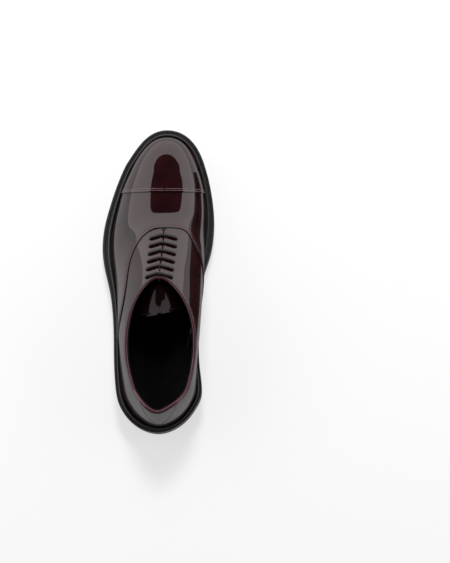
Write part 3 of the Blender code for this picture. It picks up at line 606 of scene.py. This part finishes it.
for word, side in (("lateral", -1), ("medial", 1)):
    faces = patch(SKIN, (VAMP, -LAP, 1), (SIDE, 0, side), (TOP, 0, 1), (Q, FACING_GAP, 1), (HOLE, 0, 1),
                  (K, K_END - .003, -1))
    # rims away from the lace holes and the vamp lap are painted lighter red: partly a painted highlight,
    # partly the edge's own tone
    quarter = leather_sheet(f"quarter_{word}_calf", faces, quarter_in, quarter_out, oxblood, quarter_edge, .6,
                            lambda r: np.where((r[:, HOLE] > 1) & (r[:, VAMP] > 0), -1.0, 0.0))
    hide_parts(f"quarter_{word}")
    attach(quarter, "shoe")

# ---- Heel tab: V-shaped strip over the back seam --------------------------------------------------
# Thin oxblood calf laid over both quarters, widest at the topline, and stitched down along its edge.
TAB_FOOT, TAB_FACE, TAB_OVERHANG = .12, .95, .2      # its inner and outer depth, its reach past the topline
tab = leather_sheet("heel_tab_calf", patch(SKIN, (TAB, 0, 1), (TOP, -TAB_OVERHANG, 1)), TAB_FOOT, TAB_FACE,
                    oxblood, lambda r: np.minimum(r[:, TAB], r[:, TOP] + TAB_OVERHANG))
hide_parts("heel_tab")
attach(tab, "shoe")

# ---- Linings: black calf inside the quarters and heel ---------------------------------------------
# Matte, thin and lightly wrinkled; trimmed level with the topline, so its edge shows as a black line.
LINING_INNER, LINING_OUTER, LINING_TRIM, HEEL_LINING_K = -4.2, -2.8, 1.3, 13.5


def lining_leather(name, colour):
    """Matte calf with an open grain."""
    mat, tree, shader = new_finish(name)
    place = tree.nodes.new("ShaderNodeTexCoord"), "Object"
    tone = two_tone(tree, clouds(tree, place, 90, 5), [c * .6 for c in colour], [c * 1.5 for c in colour])
    pores = wire(tree.nodes.new("ShaderNodeTexVoronoi"), Vector=place, Scale=1100)
    wire(shader, Base_Color=tone, Normal=emboss(tree, (pores, "Distance"), .35, .0001), Roughness=.62,
         Specular_IOR_Level=.2)
    return mat


black_lining = lining_leather("black lining calf", (.0016, .0016, .0019))
no_edge = lambda r: np.full(len(r), 9.0)
for name, side in (("quarter_lining_lateral", -1), ("quarter_lining_medial", 1)):
    faces = patch(COARSE, (VAMP, -2.7, 1), (SIDE, 0, side), (TOP, LINING_TRIM, 1), (Q, 1.2, 1),
                  (K, HEEL_LINING_K, -1))
    lining = leather_sheet(name + "_calf", faces, LINING_INNER, LINING_OUTER, black_lining, no_edge, .6)
    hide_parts(name)
    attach(lining, "shoe")
faces = patch(COARSE, (TOP, LINING_TRIM, 1), (K, HEEL_LINING_K, 1))
lining = leather_sheet("heel_lining_calf", faces, LINING_INNER, LINING_OUTER, black_lining, no_edge, .6)
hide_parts("heel_lining")
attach(lining, "shoe")
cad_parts["vamp_lining"].data.materials.clear()
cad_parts["vamp_lining"].data.materials.append(black_lining)

# ---- Tongue: polished calf on a black lining, sewn in at the throat -------------------------------
# Its free end shows in the mouth of the shoe, and the whole tongue swings on its sewn edge.
TONGUE_SEAM, TONGUE_END, END_SLANT = 56, 38.3, .153      # sewn edge, free end, slant of the free end
TONGUE_DROP, DROP_FROM, DROP_OVER = 12.5, 6, 44          # how far the free end sinks, from where, over what
CURL_LIFT = .13
tongue_columns = np.arange(6.6, 12.01, .08)
tongue_rows = np.linspace(.5, 1, 44)


def tongue_skin(grow):
    """Skin for the tongue, larger all round by grow, with its free end sunk and a little curled up."""
    skin = make_skin(tongue_columns, tongue_rows)
    wide = np.interp(skin[..., YR], (-37, 20, 56), (35, 29, 18)) + grow - skin[..., Q]
    end = skin[..., YR] + TONGUE_END + grow - END_SLANT * skin[..., 0]
    skin[..., TAB] = np.minimum(wide, np.minimum(TONGUE_SEAM + grow - skin[..., YR], end))
    curl = 1.2 + 18 * np.interp(skin[..., 0], (-12, 7, 20), (0, 1, 0))
    skin[..., 2] -= TONGUE_DROP * np.clip((DROP_FROM - skin[..., YR]) / DROP_OVER, 0, 1)
    skin[..., 2] += CURL_LIFT * curl * np.clip(1 - (end - grow) / curl, 0, 1) ** 2
    return skin


def tongue_depth(low, high):
    """Depth under the skin, deeper behind the throat, where lace and facings lie over the tongue."""
    return ramp(YR, (40, 46), (low, high))


def without_bridge(faces):
    """Leave out the strip that would join the two sides behind the tongue."""
    return [f for f in faces if np.ptp(f[:, 0]) < 8]


tongue_face = tongue_depth(-7.5, -4.6)
# the tongue's stain is far darker than the other calf: painted shade, for the tongue lying deep in the mouth
# of the shoe
shaded_tongue_oxblood = burnished_leather("tongue calf painted shade", (.0012, .0003, .0004), (.003, .0006, .0008), gloss=.3)
tongue = leather_sheet("tongue_calf", without_bridge(patch(tongue_skin(0), (TAB, 0, 1))),
                       tongue_depth(-8.9, -6.0), tongue_face, shaded_tongue_oxblood, lambda r: r[:, TAB])
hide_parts("tongue")
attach(tongue, "tongue")
tongue_back = leather_sheet("tongue_lining_calf", without_bridge(patch(tongue_skin(-1.5), (TAB, 0, 1))),
                            tongue_depth(-10.1, -7.2), tongue_depth(-9.2, -6.3), black_lining, no_edge)
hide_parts("tongue_lining")
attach(tongue_back, "tongue")

# ---- Stitching: waxed thread, about six stitches to the centimetre --------------------------------
# Each stitch is a small arch that rises from the leather and dips back in at both ends.
STITCH_PITCH, STITCH, THREAD = 1.55, 1.35, .2
DOUBLE_ROW = (-1.5, -3.3)             # the two rows, measured from the lapped edge


def waxed_thread(name, colour):
    """Twisted linen thread under wax."""
    mat, tree, shader = new_finish(name)
    twist = clouds(tree, (tree.nodes.new("ShaderNodeTexCoord"), "Object"), 2600)
    wire(shader, Base_Color=two_tone(tree, twist, [c * .5 for c in colour], [c * 1.5 for c in colour]),
         Roughness=.5)
    return mat


def stitch_tree(name, material):
    """Node tree that lays one arched stitch on every point."""
    tree = bpy.data.node_groups.new(name, "GeometryNodeTree")
    add = tree.nodes.new
    for label, kind in (("Geometry", "Geometry"), ("Stitch length", "Float"), ("Thread radius", "Float")):
        tree.interface.new_socket(label, in_out="INPUT", socket_type="NodeSocket" + kind)
    tree.interface.new_socket("Geometry", in_out="OUTPUT", socket_type="NodeSocketGeometry")
    start = add("NodeGroupInput")
    arch = wire(add("GeometryNodeCurveQuadraticBezier"), Resolution=5)
    for socket, share, rise in (("Start", -.5, -.9), ("Middle", 0, 1.6), ("End", .5, -.9)):
        at = add("ShaderNodeCombineXYZ")
        for axis, size, factor in (("X", "Stitch length", share), ("Z", "Thread radius", rise)):
            times = add("ShaderNodeMath")
            times.operation = "MULTIPLY"
            times.inputs[1].default_value = factor
            tree.links.new(start.outputs[size], times.inputs[0])
            wire(at, **{axis: (times, "Value")})
        wire(arch, **{socket: (at, "Vector")})
    ring = wire(add("GeometryNodeCurvePrimitiveCircle"), Resolution=6, Radius=(start, "Thread radius"))
    thread = wire(add("GeometryNodeCurveToMesh"), Curve=(arch, "Curve"), Profile_Curve=(ring, "Curve"),
                  Fill_Caps=True)
    turn = {}
    for word, axis, pivot in (("along", "X", "AUTO"), ("up", "Z", "X")):
        read = add("GeometryNodeInputNamedAttribute")
        read.data_type = "FLOAT_VECTOR"
        wire(read, Name=word)
        align = add("FunctionNodeAlignRotationToVector")
        align.axis, align.pivot_axis = axis, pivot
        wire(align, Vector=(read, "Attribute"), **turn)
        turn = {"Rotation": (align, "Rotation")}
    lay = wire(add("GeometryNodeInstanceOnPoints"), Points=(start, "Geometry"), Instance=(thread, "Mesh"),
               **turn)
    real = wire(add("GeometryNodeRealizeInstances"), Geometry=(lay, "Instances"))
    coat = wire(add("GeometryNodeSetMaterial"), Geometry=(real, "Geometry"), Material=material)
    wire(add("NodeGroupOutput"), Geometry=(coat, "Geometry"))
    return tree


def sew(name, spots, length, radius, material, body):
    """Plain mesh of stitches at the given spots (place, along, up), in mm."""
    mesh = bpy.data.meshes.new(name + "_spots")
    mesh.from_pydata([tuple(float(c) * MM for c in p) for p, a, u in spots], [], [])
    for word, column in (("along", 1), ("up", 2)):
        layer = mesh.attributes.new(word, "FLOAT_VECTOR", "POINT")
        layer.data.foreach_set("vector", np.array([s[column] for s in spots], np.float32).ravel())
    carrier = put(name + "_spots", mesh)
    tree = stitch_tree(name + " tree", material)
    mod = carrier.modifiers.new("stitches", "NODES")
    mod.node_group = tree
    sockets = {i.name: i.identifier for i in tree.interface.items_tree if i.in_out == "INPUT"}
    mod[sockets["Stitch length"]] = length * MM
    mod[sockets["Thread radius"]] = radius * MM
    graph = bpy.context.evaluated_depsgraph_get()
    plain = bpy.data.meshes.new_from_object(carrier.evaluated_get(graph))
    bpy.data.objects.remove(carrier, do_unlink=True)
    plain.name = name
    plain.shade_smooth()
    ob = put(name, plain)
    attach(ob, body)
    return ob


oxblood_thread = waxed_thread("oxblood thread", (.075, .024, .03))
black_thread = waxed_thread("black thread", (.006, .005, .006))
showing = lambda r: r[UP] > .3 and r[TOP] > .5
spots = []
for level in DOUBLE_ROW:
    spots += pattern_line(CAP, level, showing, STITCH_PITCH, lapped_out(CAP))
# the cap's thread is paler than the oxblood thread: a painted highlight along the cap seam, where the lapped
# edge catches light
sew("cap_stitches", spots, STITCH, THREAD, waxed_thread("cap thread painted highlight", (.16, .1, .105)), "shoe")
spots = []
for level in DOUBLE_ROW:
    spots += pattern_line(VAMP, level, showing, STITCH_PITCH, lapped_out(VAMP))
sew("vamp_stitches", spots, STITCH, THREAD, oxblood_thread, "shoe")
flat = lambda rows: np.zeros(len(rows))
spots = pattern_line(TOP, 2.0, lambda r: r[Q] > 3 and r[TAB] < -.3 and r[K] > 9.3, STITCH_PITCH, flat)
spots += pattern_line(Q, 3.0, lambda r: r[TOP] > 2.2 and r[VAMP] > 1, STITCH_PITCH, flat)
sew("quarter_stitches", spots, STITCH, .19, oxblood_thread, "shoe")
tab_top = lambda rows: np.full(len(rows), TAB_FACE)
spots = pattern_line(TAB, 1.5, lambda r: r[TOP] > 1.2, STITCH_PITCH, tab_top)
spots += pattern_line(SIDE, 0, lambda r: r[K] > 15 and r[TAB] < -1 and r[UP] > .5, STITCH_PITCH, flat)
sew("heel_tab_stitches", spots, 1.4, THREAD, black_thread, "shoe")

# bar tack: a few tight cross stitches that keep the throat from tearing
tack = SKIN[np.argmin(np.abs(SKIN[:, -1, YR] - 45.6) + 50 * (SKIN[:, -1, SIDE] > 0)), -1]
spots = [(tack[POS] + np.array([x, .35 * m, .1]), np.array([1.0, 0, 0]), tack[VEC])
         for m in (-1.5, -.5, .5, 1.5) for x in (-1.3, 1.3)]
sew("throat_bar_tack", spots, 2.6, .22, black_thread, "shoe")

# one row round the tongue's free end; it holds calf and lining together and swings with them
near_end = lambda r: r[YR] < 0 and abs(r[Q]) < 30
spots = pattern_line(TAB, 2.4, near_end, STITCH_PITCH, tongue_face, tongue_skin(0))
sew("tongue_stitches", spots, STITCH, .17, black_thread, "tongue")


# ---- Eyelets and stiffeners: inner works, out of sight --------------------------------------------
# Pressed board, cotton, brass, cork, insole leather and a steel shank, held between the layers.
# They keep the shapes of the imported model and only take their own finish.
def plain_stock(name, low, high, scale, rough, metal=0.0, bump=.3, gloss=.5):
    """Raw stock such as board, cork, cloth or spring steel."""
    mat, tree, shader = new_finish(name)
    grain = clouds(tree, (tree.nodes.new("ShaderNodeTexCoord"), "Object"), scale, 5)
    wire(shader, Base_Color=two_tone(tree, grain, low, high, .35, .65), Roughness=rough, Metallic=metal,
         Normal=emboss(tree, grain, bump, .0002), Specular_IOR_Level=gloss)
    return mat


def dress(material, *names):
    """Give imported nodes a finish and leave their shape."""
    for name in names:
        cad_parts[name].data.materials.clear()
        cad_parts[name].data.materials.append(material)


dress(plain_stock("leatherboard", (.36, .27, .17), (.55, .43, .29), 500, .85), "toe_puff", "heel_counter")
dress(plain_stock("backing cotton", (.62, .59, .52), (.8, .77, .7), 1500, .95), "vamp_interlining",
      "eyelet_stay_lateral", "eyelet_stay_medial")
dress(plain_stock("eyelet brass", (.42, .33, .17), (.55, .45, .26), 700, .35, 1, .05),
      *[f"eyelet_{w}_{i}" for w in ("lateral", "medial") for i in range(1, 7)])
dress(plain_stock("sole cork", (.2, .1, .045), (.5, .31, .16), 450, .95, 0, .8), "cork_filler")
dress(plain_stock("insole leather", (.36, .24, .13), (.5, .34, .2), 200, .7), "insole")
dress(plain_stock("shank spring steel", (.42, .42, .44), (.58, .58, .6), 300, .35, 1, .05), "shank")


# ---- Lace: round waxed cotton braid, 2.6 mm, laced in straight bars --------------------------------
# Both ends go down through the last holes and are tucked in beside the tongue.
LACE_R, LACE_OVER, LACE_UNDER = 1.3, 1.6, -5.8      # radius, depth of the bars, depth of the runs below
LACE_BEND, PASS_BY = 1.5, 3.3         # bend at a hole, swing past the hole between
LACE_SIDES, TAIL_END = 14, 58         # sides of the tube, how far back the tucked ends reach


def skin_point(y, q, side, depth):
    """Point at a depth off the skin, given its place on the flattened upper."""
    ks = np.linspace(7, 14, 281)
    k = float(np.interp(-y, -section(ks)[:, 1], ks))
    s = k if side < 0 else 2 * K_END - k
    ts = np.linspace(1, 0, 121)
    p = last_surface(np.full(121, s), ts)
    g = np.concatenate([[0], np.cumsum(np.linalg.norm(np.diff(p, axis=0), axis=1))])
    t = float(np.interp(q, g, ts))
    h = .002
    p = last_surface(np.array([s, s + h, s]), np.array([t, t, t - h]))
    n = np.cross(p[1] - p[0], p[0] - p[2])
    n /= np.linalg.norm(n)
    if q < .05:
        n[0] = 0
        n /= np.linalg.norm(n)
    return p[0] + depth * n


def bar(row, start):
    """Bar across the instep from the start side, hole to hole."""
    out = []
    for q in (-EYELET_Q, -10.5, -8, -5.5, -3, -1.2, .6, 2.4, 4.5, 7, 9.5, 11.2, EYELET_Q):
        peak = float(np.interp(q, (-EYELET_Q, -8, -3, 0, 3, 8, EYELET_Q), (0, 1.3, 2.9, 3.2, 2.5, 1.2, 0)))
        out.append(skin_point(row_y(row) + peak, abs(q), -1 if q < 0 else 1, LACE_OVER))
    return out if start < 0 else out[::-1]


def under_run(side, a, b, shift):
    """Run under the lining between two holes of one side, swung past the hole between."""
    ya, yb = row_y(a), row_y(b)
    return [skin_point(ya + (yb - ya) * w, EYELET_Q + shift * math.sin(math.pi * w), side, LACE_UNDER)
            for w in np.linspace(0, 1, 7)]


def tail(row, far_q):
    """Tucked end along the inside of the medial lining."""
    run = np.linspace(0, 1, 16)
    ys = row_y(row) - (TAIL_END + row_y(row)) * run
    qs = EYELET_Q + (far_q - EYELET_Q) * np.sin(run * math.pi / 2)
    depths = LACE_UNDER - 1.8 * np.maximum(0, 2 * run - 1) ** 2
    return [skin_point(y, q, 1, depth) for y, q, depth in zip(ys, qs, depths)]


def corner(before, at, after, radius):
    """Quarter turn from one leg of the lace into the next."""
    d1 = (before - at) / np.linalg.norm(before - at)
    d2 = (after - at) / np.linalg.norm(after - at)
    a, b = at + radius * d1, at + radius * d2
    centre = a + b - at
    return [centre + (a - centre) * math.cos(math.radians(w)) + (b - centre) * math.sin(math.radians(w))
            for w in (0, 18, 36, 54, 72, 90)]


legs = [tail(6, 66)[::-1], bar(6, 1), under_run(-1, 6, 4, -PASS_BY), bar(4, -1),
        under_run(1, 4, 2, -PASS_BY), bar(2, 1), under_run(-1, 2, 1, 0), bar(1, -1),
        under_run(1, 1, 3, PASS_BY), bar(3, 1), under_run(-1, 3, 5, PASS_BY), bar(5, -1), tail(5, 75)]
lace_path = []
for i, leg in enumerate(legs):
    if i:
        lace_path += corner(legs[i - 1][-1], leg[0], leg[1], LACE_BEND)
    lace_path += leg[(1 if i else 0):(len(leg) - 1 if i < len(legs) - 1 else len(leg))]
    if i < len(legs) - 1:
        lace_path += corner(leg[-2], leg[-1], legs[i + 1][0], LACE_BEND)


def swept_tube(name, points, radius, sides, material):
    """Closed tube along points, with its length and turn kept as a UV map for the braid."""
    p = np.array(points)
    n = len(p)
    run = np.gradient(p, axis=0)
    run /= np.linalg.norm(run, axis=1, keepdims=True)
    length = np.concatenate([[0], np.cumsum(np.linalg.norm(np.diff(p, axis=0), axis=1))])
    radius = np.broadcast_to(radius, n)
    ref = np.cross(run[0], [0.3, 0.2, 1.0])
    verts, faces, uvs = [], [], []
    for i in range(n):
        ref = ref - (ref @ run[i]) * run[i]
        ref /= np.linalg.norm(ref)
        third = np.cross(run[i], ref)
        for j in range(sides):
            a = 2 * math.pi * j / sides
            verts.append(p[i] + radius[i] * (math.cos(a) * ref + math.sin(a) * third))
    for i in range(n - 1):
        for j in range(sides):
            m = (j + 1) % sides
            faces.append([i * sides + j, i * sides + m, (i + 1) * sides + m, (i + 1) * sides + j])
            uvs += [(j / sides, length[i]), ((j + 1) / sides, length[i]), ((j + 1) / sides, length[i + 1]),
                    (j / sides, length[i + 1])]
    faces.append(list(range(sides))[::-1])
    faces.append(list(range((n - 1) * sides, n * sides)))
    uvs += [(0, 0)] * (2 * sides)
    ob = finish_mesh(name, verts, faces, material)
    layer = ob.data.uv_layers.new(name="braid")
    layer.data.foreach_set("uv", np.array(uvs, np.float32).ravel())
    return ob


def waxed_braid(name):
    """Diagonal braid of black cotton under wax."""
    mat, tree, shader = new_finish(name)
    place = tree.nodes.new("ShaderNodeUVMap")
    place.uv_map = "braid"
    weave = tree.nodes.new("ShaderNodeMath")
    weave.operation = "MULTIPLY"
    for turn, strand in zip((8, -8), weave.inputs):
        spread, wave = tree.nodes.new("ShaderNodeVectorMath"), tree.nodes.new("ShaderNodeMath")
        spread.operation, wave.operation = "DOT_PRODUCT", "SINE"
        spread.inputs[1].default_value = (turn * math.pi, 3.4, 0)
        tree.links.new(place.outputs["UV"], spread.inputs[0])
        tree.links.new(spread.outputs["Value"], wave.inputs[0])
        tree.links.new(wave.outputs[0], strand)
    height = weave, "Value"
    # the braid's colour follows the weave's height, darker in the hollows: painted shade in the weave
    tone = wire(tree.nodes.new("ShaderNodeMixRGB"), Fac=remap(tree, height, 0, 1, -1),
                Color1=(.0015, .0013, .0013, 1), Color2=(.006, .005, .0055, 1))
    wire(shader, Base_Color=(tone, "Color"), Normal=emboss(tree, height, .6, .00025), Roughness=.34)
    return mat


braid = waxed_braid("black waxed braid")
lace = swept_tube("lace_braid", lace_path, LACE_R, LACE_SIDES, braid)
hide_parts("lace")
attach(lace, "shoe")

# tips: black film rolled tight round each end; distances along a tip, and its radius at each
TIP_ALONG = (.1, .35, .8, 8, 15.4, 15.8, 16)
TIP_RADIUS = np.array((.9, 1.1, 1.15, 1.1, 1.1, .95, .6))
for name, a, b in (("aglet_1", 0, 1), ("aglet_2", -1, -2)):
    end = lace_path[a]
    d = (end - lace_path[b]) / np.linalg.norm(end - lace_path[b])
    film = plain_stock("aglet film " + name[-1], (.002, .002, .002), (.003, .003, .003), 300, .8, 0, .02, .03)
    aglet = swept_tube(name + "_film", [end + w * d for w in TIP_ALONG], TIP_RADIUS, LACE_SIDES, film)
    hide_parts(name)
    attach(aglet, "shoe")

# ---- Bottom: storm welt, midsole, rubber outsole and heel ------------------------------------------
# The welt is a shaped strip sewn round the upper: flat ledge, stitch channel, raised storm lip.
WELT_LATERAL = (7.9, 8.0, 8.0, 8.0, 8.0, 8.2, 8.8, 9.4, 9.6, 9.0, 7.4, 6.2, 5.9, 6.2, 6.3, 6.8, 7.1, 6.7, 6.0)
WELT_MEDIAL = (7.9, 7.8, 7.7, 7.6, 7.7, 8.0, 8.6, 9.0, 8.6, 6.4, 5.0, 4.7, 4.7, 5.3, 5.8, 5.4, 5.0, 5.2, 6.0)
WELT_TIP, WELT_GAP, BREAST_K = 8.0, 1.6, 12.65      # width at the toe, gap to the upper, heel breast

sole_columns = np.unique(np.concatenate([np.arange(0, 18.01, .1), [BREAST_K]]))
toe_rows = np.linspace(1, 0, 24)[:-1]


def feather_loop():
    """Closed loop round the feather line from the toe tip, outward directions and station numbers."""
    s = np.concatenate([np.zeros(len(toe_rows)), sole_columns, (2 * K_END - sole_columns)[-2::-1],
                        np.full(len(toe_rows) - 1, 2.0 * K_END)])
    t = np.concatenate([toe_rows, np.zeros(2 * len(sole_columns) - 1), toe_rows[::-1][:-1]])
    p = last_surface(s, t)
    p[:, 2] = feather_z(p[:, 1])
    closed = np.vstack([p, p[:1]])
    along = np.concatenate([[0], np.cumsum(np.linalg.norm(np.diff(closed, axis=0), axis=1))])
    # outward directions are taken on even steps and smoothed, so that the welt has no kinks
    even = np.linspace(0, along[-1], 801)
    q = np.stack([np.interp(even, along, closed[:, c]) for c in range(2)], -1)[:-1]
    run = np.roll(q, -1, axis=0) - np.roll(q, 1, axis=0)
    run /= np.linalg.norm(run, axis=1, keepdims=True)
    for _ in range(60):
        run = (np.roll(run, 1, axis=0) + 2 * run + np.roll(run, -1, axis=0)) / 4
    run = np.vstack([run, run[:1]])
    out = np.stack([np.interp(along[:-1], even, run[:, 1]), -np.interp(along[:-1], even, run[:, 0]),
                    np.zeros(len(p))], -1)
    out /= np.linalg.norm(out, axis=1, keepdims=True)
    ks = np.concatenate([-toe_rows, sole_columns])
    xs = np.concatenate([[-1], np.arange(0, K_END + 1)])
    left = spline(xs, (WELT_TIP, *WELT_LATERAL))(ks)
    right = spline(xs, (WELT_TIP, *WELT_MEDIAL))(ks)
    return p, out, np.concatenate([left, right[::-1][1:-1]]), ks


LOOP, LOOP_OUT, OUT_EDGE, LOOP_K = feather_loop()
LOOP_N = len(LOOP)


def ring(outward, height):
    """Loop moved outward from the feather line and up or down from it."""
    p = LOOP + LOOP_OUT * np.broadcast_to(outward, LOOP_N)[:, None]
    p[:, 2] = feather_z(p[:, 1]) + height
    return p


def rubber(name, low, high, rough):
    """Moulded black rubber: satin, faint scuffs, slightly uneven."""
    mat, tree, shader = new_finish(name)
    place = tree.nodes.new("ShaderNodeTexCoord"), "Object"
    scuff = clouds(tree, place, 160, 6)
    uneven = emboss(tree, clouds(tree, place, 2200), .25, .0001)
    wire(shader, Base_Color=two_tone(tree, scuff, low, high), Normal=uneven,
         Roughness=remap(tree, scuff, rough - .08, rough + .1))
    return mat


sole_black = rubber("sole rubber", (.007, .007, .0075), (.015, .015, .016), .55)
welt_black = rubber("welt black", (.011, .011, .012), (.02, .02, .021), .5)


def hoop(name, profile, material):
    """Closed ring swept round the shoe; the profile gives outward distance and height."""
    verts, faces = [], []
    m = len(profile)
    for outward, height in profile:
        verts += list(ring(outward, height))
    for c in range(m):
        for i in range(LOOP_N):
            j, d = (i + 1) % LOOP_N, (c + 1) % m
            faces.append([c * LOOP_N + i, d * LOOP_N + i, d * LOOP_N + j, c * LOOP_N + j])
    ob = finish_mesh(name, verts, faces, material)
    ob.data.set_sharp_from_angle(angle=math.radians(50))
    return ob


def across(f):
    """Distance outward at a share of the welt's width, from its outer edge inward."""
    return OUT_EDGE - f * (OUT_EDGE - WELT_GAP)


# share of the width from the outer edge, then height: ledge, channel, storm lip
WELT_SHAPE = ((0, -4.3), (0, -.7), (.012, -.3), (.04, -.08), (.09, .05), (.3, .05), (.35, -.1), (.38, -.6),
              (.42, -1.1), (.57, -1.1), (.61, -.6), (.64, .4), (.68, 1.2), (.75, 1.75), (.84, 1.9),
              (.93, 1.6), (.98, 1.0), (1, .3), (1, -4.3))
welt = hoop("welt_strip", [(across(f), height) for f, height in WELT_SHAPE], welt_black)
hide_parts("welt")
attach(welt, "shoe")


def solid(name, top, bottom, side_levels, material, first=0):
    """Body between a top and a bottom ring, through side rings, capped across the shoe."""
    half = LOOP_N // 2
    left = list(range(first, half + 1))
    order = list(dict.fromkeys(left + [(LOOP_N - i) % LOOP_N for i in reversed(left)]))
    n = len(order)
    where = {v: i for i, v in enumerate(order)}
    rings = [top] + list(side_levels) + [bottom]
    verts = [r[i] for r in rings for i in order]
    faces = []
    low = n * (len(rings) - 1)
    for i in left[:-1]:
        corners = (i, i + 1, LOOP_N - i - 1, (LOOP_N - i) % LOOP_N)
        quad = list(dict.fromkeys(where[v] for v in corners))
        faces.append(quad)
        faces.append([v + low for v in reversed(quad)])
    for level in range(len(rings) - 1):
        for i in range(n):
            j = (i + 1) % n
            faces.append([level * n + j, level * n + i, (level + 1) * n + i, (level + 1) * n + j])
    ob = finish_mesh(name, verts, faces, material)
    bm = bmesh.new()
    bm.from_mesh(ob.data)
    bmesh.ops.recalc_face_normals(bm, faces=bm.faces)
    bm.to_mesh(ob.data)
    bm.free()
    ob.data.set_sharp_from_angle(angle=math.radians(35))
    return ob


# where the toe spring starts, the flat tread ends and the heel seat starts; rise of the waist, drop
# from the feather line to the heel seat
SPRING_Y, FLAT_Y, SEAT_Y, WAIST_RISE, SEAT_DROP = 75, 20, -71, 18.4, 12.8


def tread_z(y, feather):
    """Height of the outsole's underside: toe spring, flat tread, rise of the waist, heel seat."""
    if y > SPRING_Y:
        return 9.2 * ((y - SPRING_Y) / 78) ** 2
    if y > FLAT_Y:
        return 0.0
    if y < SEAT_Y:
        return feather - SEAT_DROP
    u = (FLAT_Y - y) / (FLAT_Y - SEAT_Y)
    return WAIST_RISE * u * u * (3 - 2 * u)


def inset(by, heights):
    """Ring a little inside the welt's outer edge, at the given heights."""
    p = ring(OUT_EDGE - by, 0)
    p[:, 2] = heights
    return p


BREAST = len(toe_rows) + int(np.argmin(np.abs(sole_columns - BREAST_K)))
tread = np.array([tread_z(p[1], p[2]) for p in ring(OUT_EDGE, 0)])
upper_edge = ring(OUT_EDGE, -7.6)[:, 2]
blend_to = lambda w: upper_edge * (1 - w) + tread * w
outsole = solid("outsole_rubber", ring(OUT_EDGE - .5, -7.55), inset(1.0, tread),
                [inset(.15, upper_edge - .15), inset(0, upper_edge - .6), inset(0, blend_to(.55)),
                 inset(0, np.maximum(tread + .9, blend_to(.8))), inset(.3, tread + .3)], sole_black)
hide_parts("outsole")
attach(outsole, "shoe")
midsole = solid("midsole_board", ring(OUT_EDGE - .7, -4.6), ring(OUT_EDGE - .7, -7.3),
                [ring(OUT_EDGE - .45, -4.9), ring(OUT_EDGE - .45, -7.0)], welt_black)
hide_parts("midsole")
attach(midsole, "shoe")

# heel: rubber block under the seat, slightly waisted, and a top lift under the block
BLOCK_FOOT, LIFT_TOP = 6.3, 6.0
seat_z = tread - .3
block_rings = [inset(.6, seat_z - .3)]
for w in (.2, .4, .6, .8):
    block_rings.append(inset(.6 + .5 * math.sin(math.pi * w), seat_z * (1 - w) + BLOCK_FOOT * w))
block_rings.append(inset(.6, BLOCK_FOOT + .3))
block = solid("heel_block_rubber", inset(.8, seat_z), inset(.8, BLOCK_FOOT), block_rings, sole_black, BREAST)
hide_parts("heel_block")
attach(block, "shoe")
lift = solid("top_lift_rubber", inset(.6, LIFT_TOP), inset(1.0, 0),
             [inset(.2, LIFT_TOP - .4), inset(.15, .8), inset(.4, .25)], sole_black, BREAST)
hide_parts("heel_top_lift")
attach(lift, "shoe")

# welt stitch: heavier black thread in the channel, about four stitches to the centimetre
WELT_PITCH = 2.6
channel = ring(across(.495), -.85)
run = np.concatenate([[0], np.cumsum(np.linalg.norm(np.roll(channel, -1, axis=0) - channel, axis=1))])
closed = np.vstack([channel, channel[:1]])
spots = []
for m in range(int(run[-1] / WELT_PITCH)):
    w = (m + .5) * WELT_PITCH
    here = np.array([np.interp(w, run, closed[:, c]) for c in range(3)])
    ahead = np.array([np.interp(min(w + .5, run[-1]), run, closed[:, c]) for c in range(3)])
    spots.append((here, (ahead - here) / np.linalg.norm(ahead - here), np.array([0, 0, 1.0])))
welt_stitch = sew("welt_stitches", spots, 2.3, .34, waxed_thread("welt thread", (.03, .028, .028)), "shoe")
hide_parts("welt_thread")

# ---- Sock liner: thin black calf glued over the insole ---------------------------------------------
# Cut to reach the lining all round, so that no bare insole shows.
SOCK_FOOT, SOCK_FACE = 4.6, 5.6


def sock_outline(height):
    """Outline at a height: under the toe a plain inset, elsewhere the lining's inner face."""
    out = ring(-8.8, height)
    inner = COARSE[..., POS] - 4.6 * COARSE[..., VEC]
    rise = inner[..., 2] - feather_z(COARSE[..., 1])
    half = (len(COARSE) + 1) // 2
    for side in (0, 1):
        wall, ks = [], []
        for c in (range(half) if side == 0 else range(len(COARSE) - 1, half - 2, -1)):
            if COARSE[c, 0, K] > 2.9:
                m = max(1, int(np.argmax(rise[c] > height)))
                w = (height - rise[c, m - 1]) / (rise[c, m] - rise[c, m - 1])
                wall.append(inner[c, m - 1] + w * (inner[c, m] - inner[c, m - 1]))
                ks.append(COARSE[c, 0, K])
        wall = np.array(wall)
        for i, k in enumerate(LOOP_K):
            if k > 3:
                share = min(1, (k - 3) / 3) ** 2
                at = i if side == 0 else (LOOP_N - i) % LOOP_N
                for c in (0, 1):
                    out[at, c] += share * (np.interp(k, ks, wall[:, c]) - out[at, c])
    out[:, 2] = feather_z(out[:, 1]) + height
    return out


sock_liner = solid("sock_liner_calf", sock_outline(SOCK_FACE), sock_outline(SOCK_FOOT), [], black_lining)
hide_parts("sock_liner")
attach(sock_liner, "shoe")
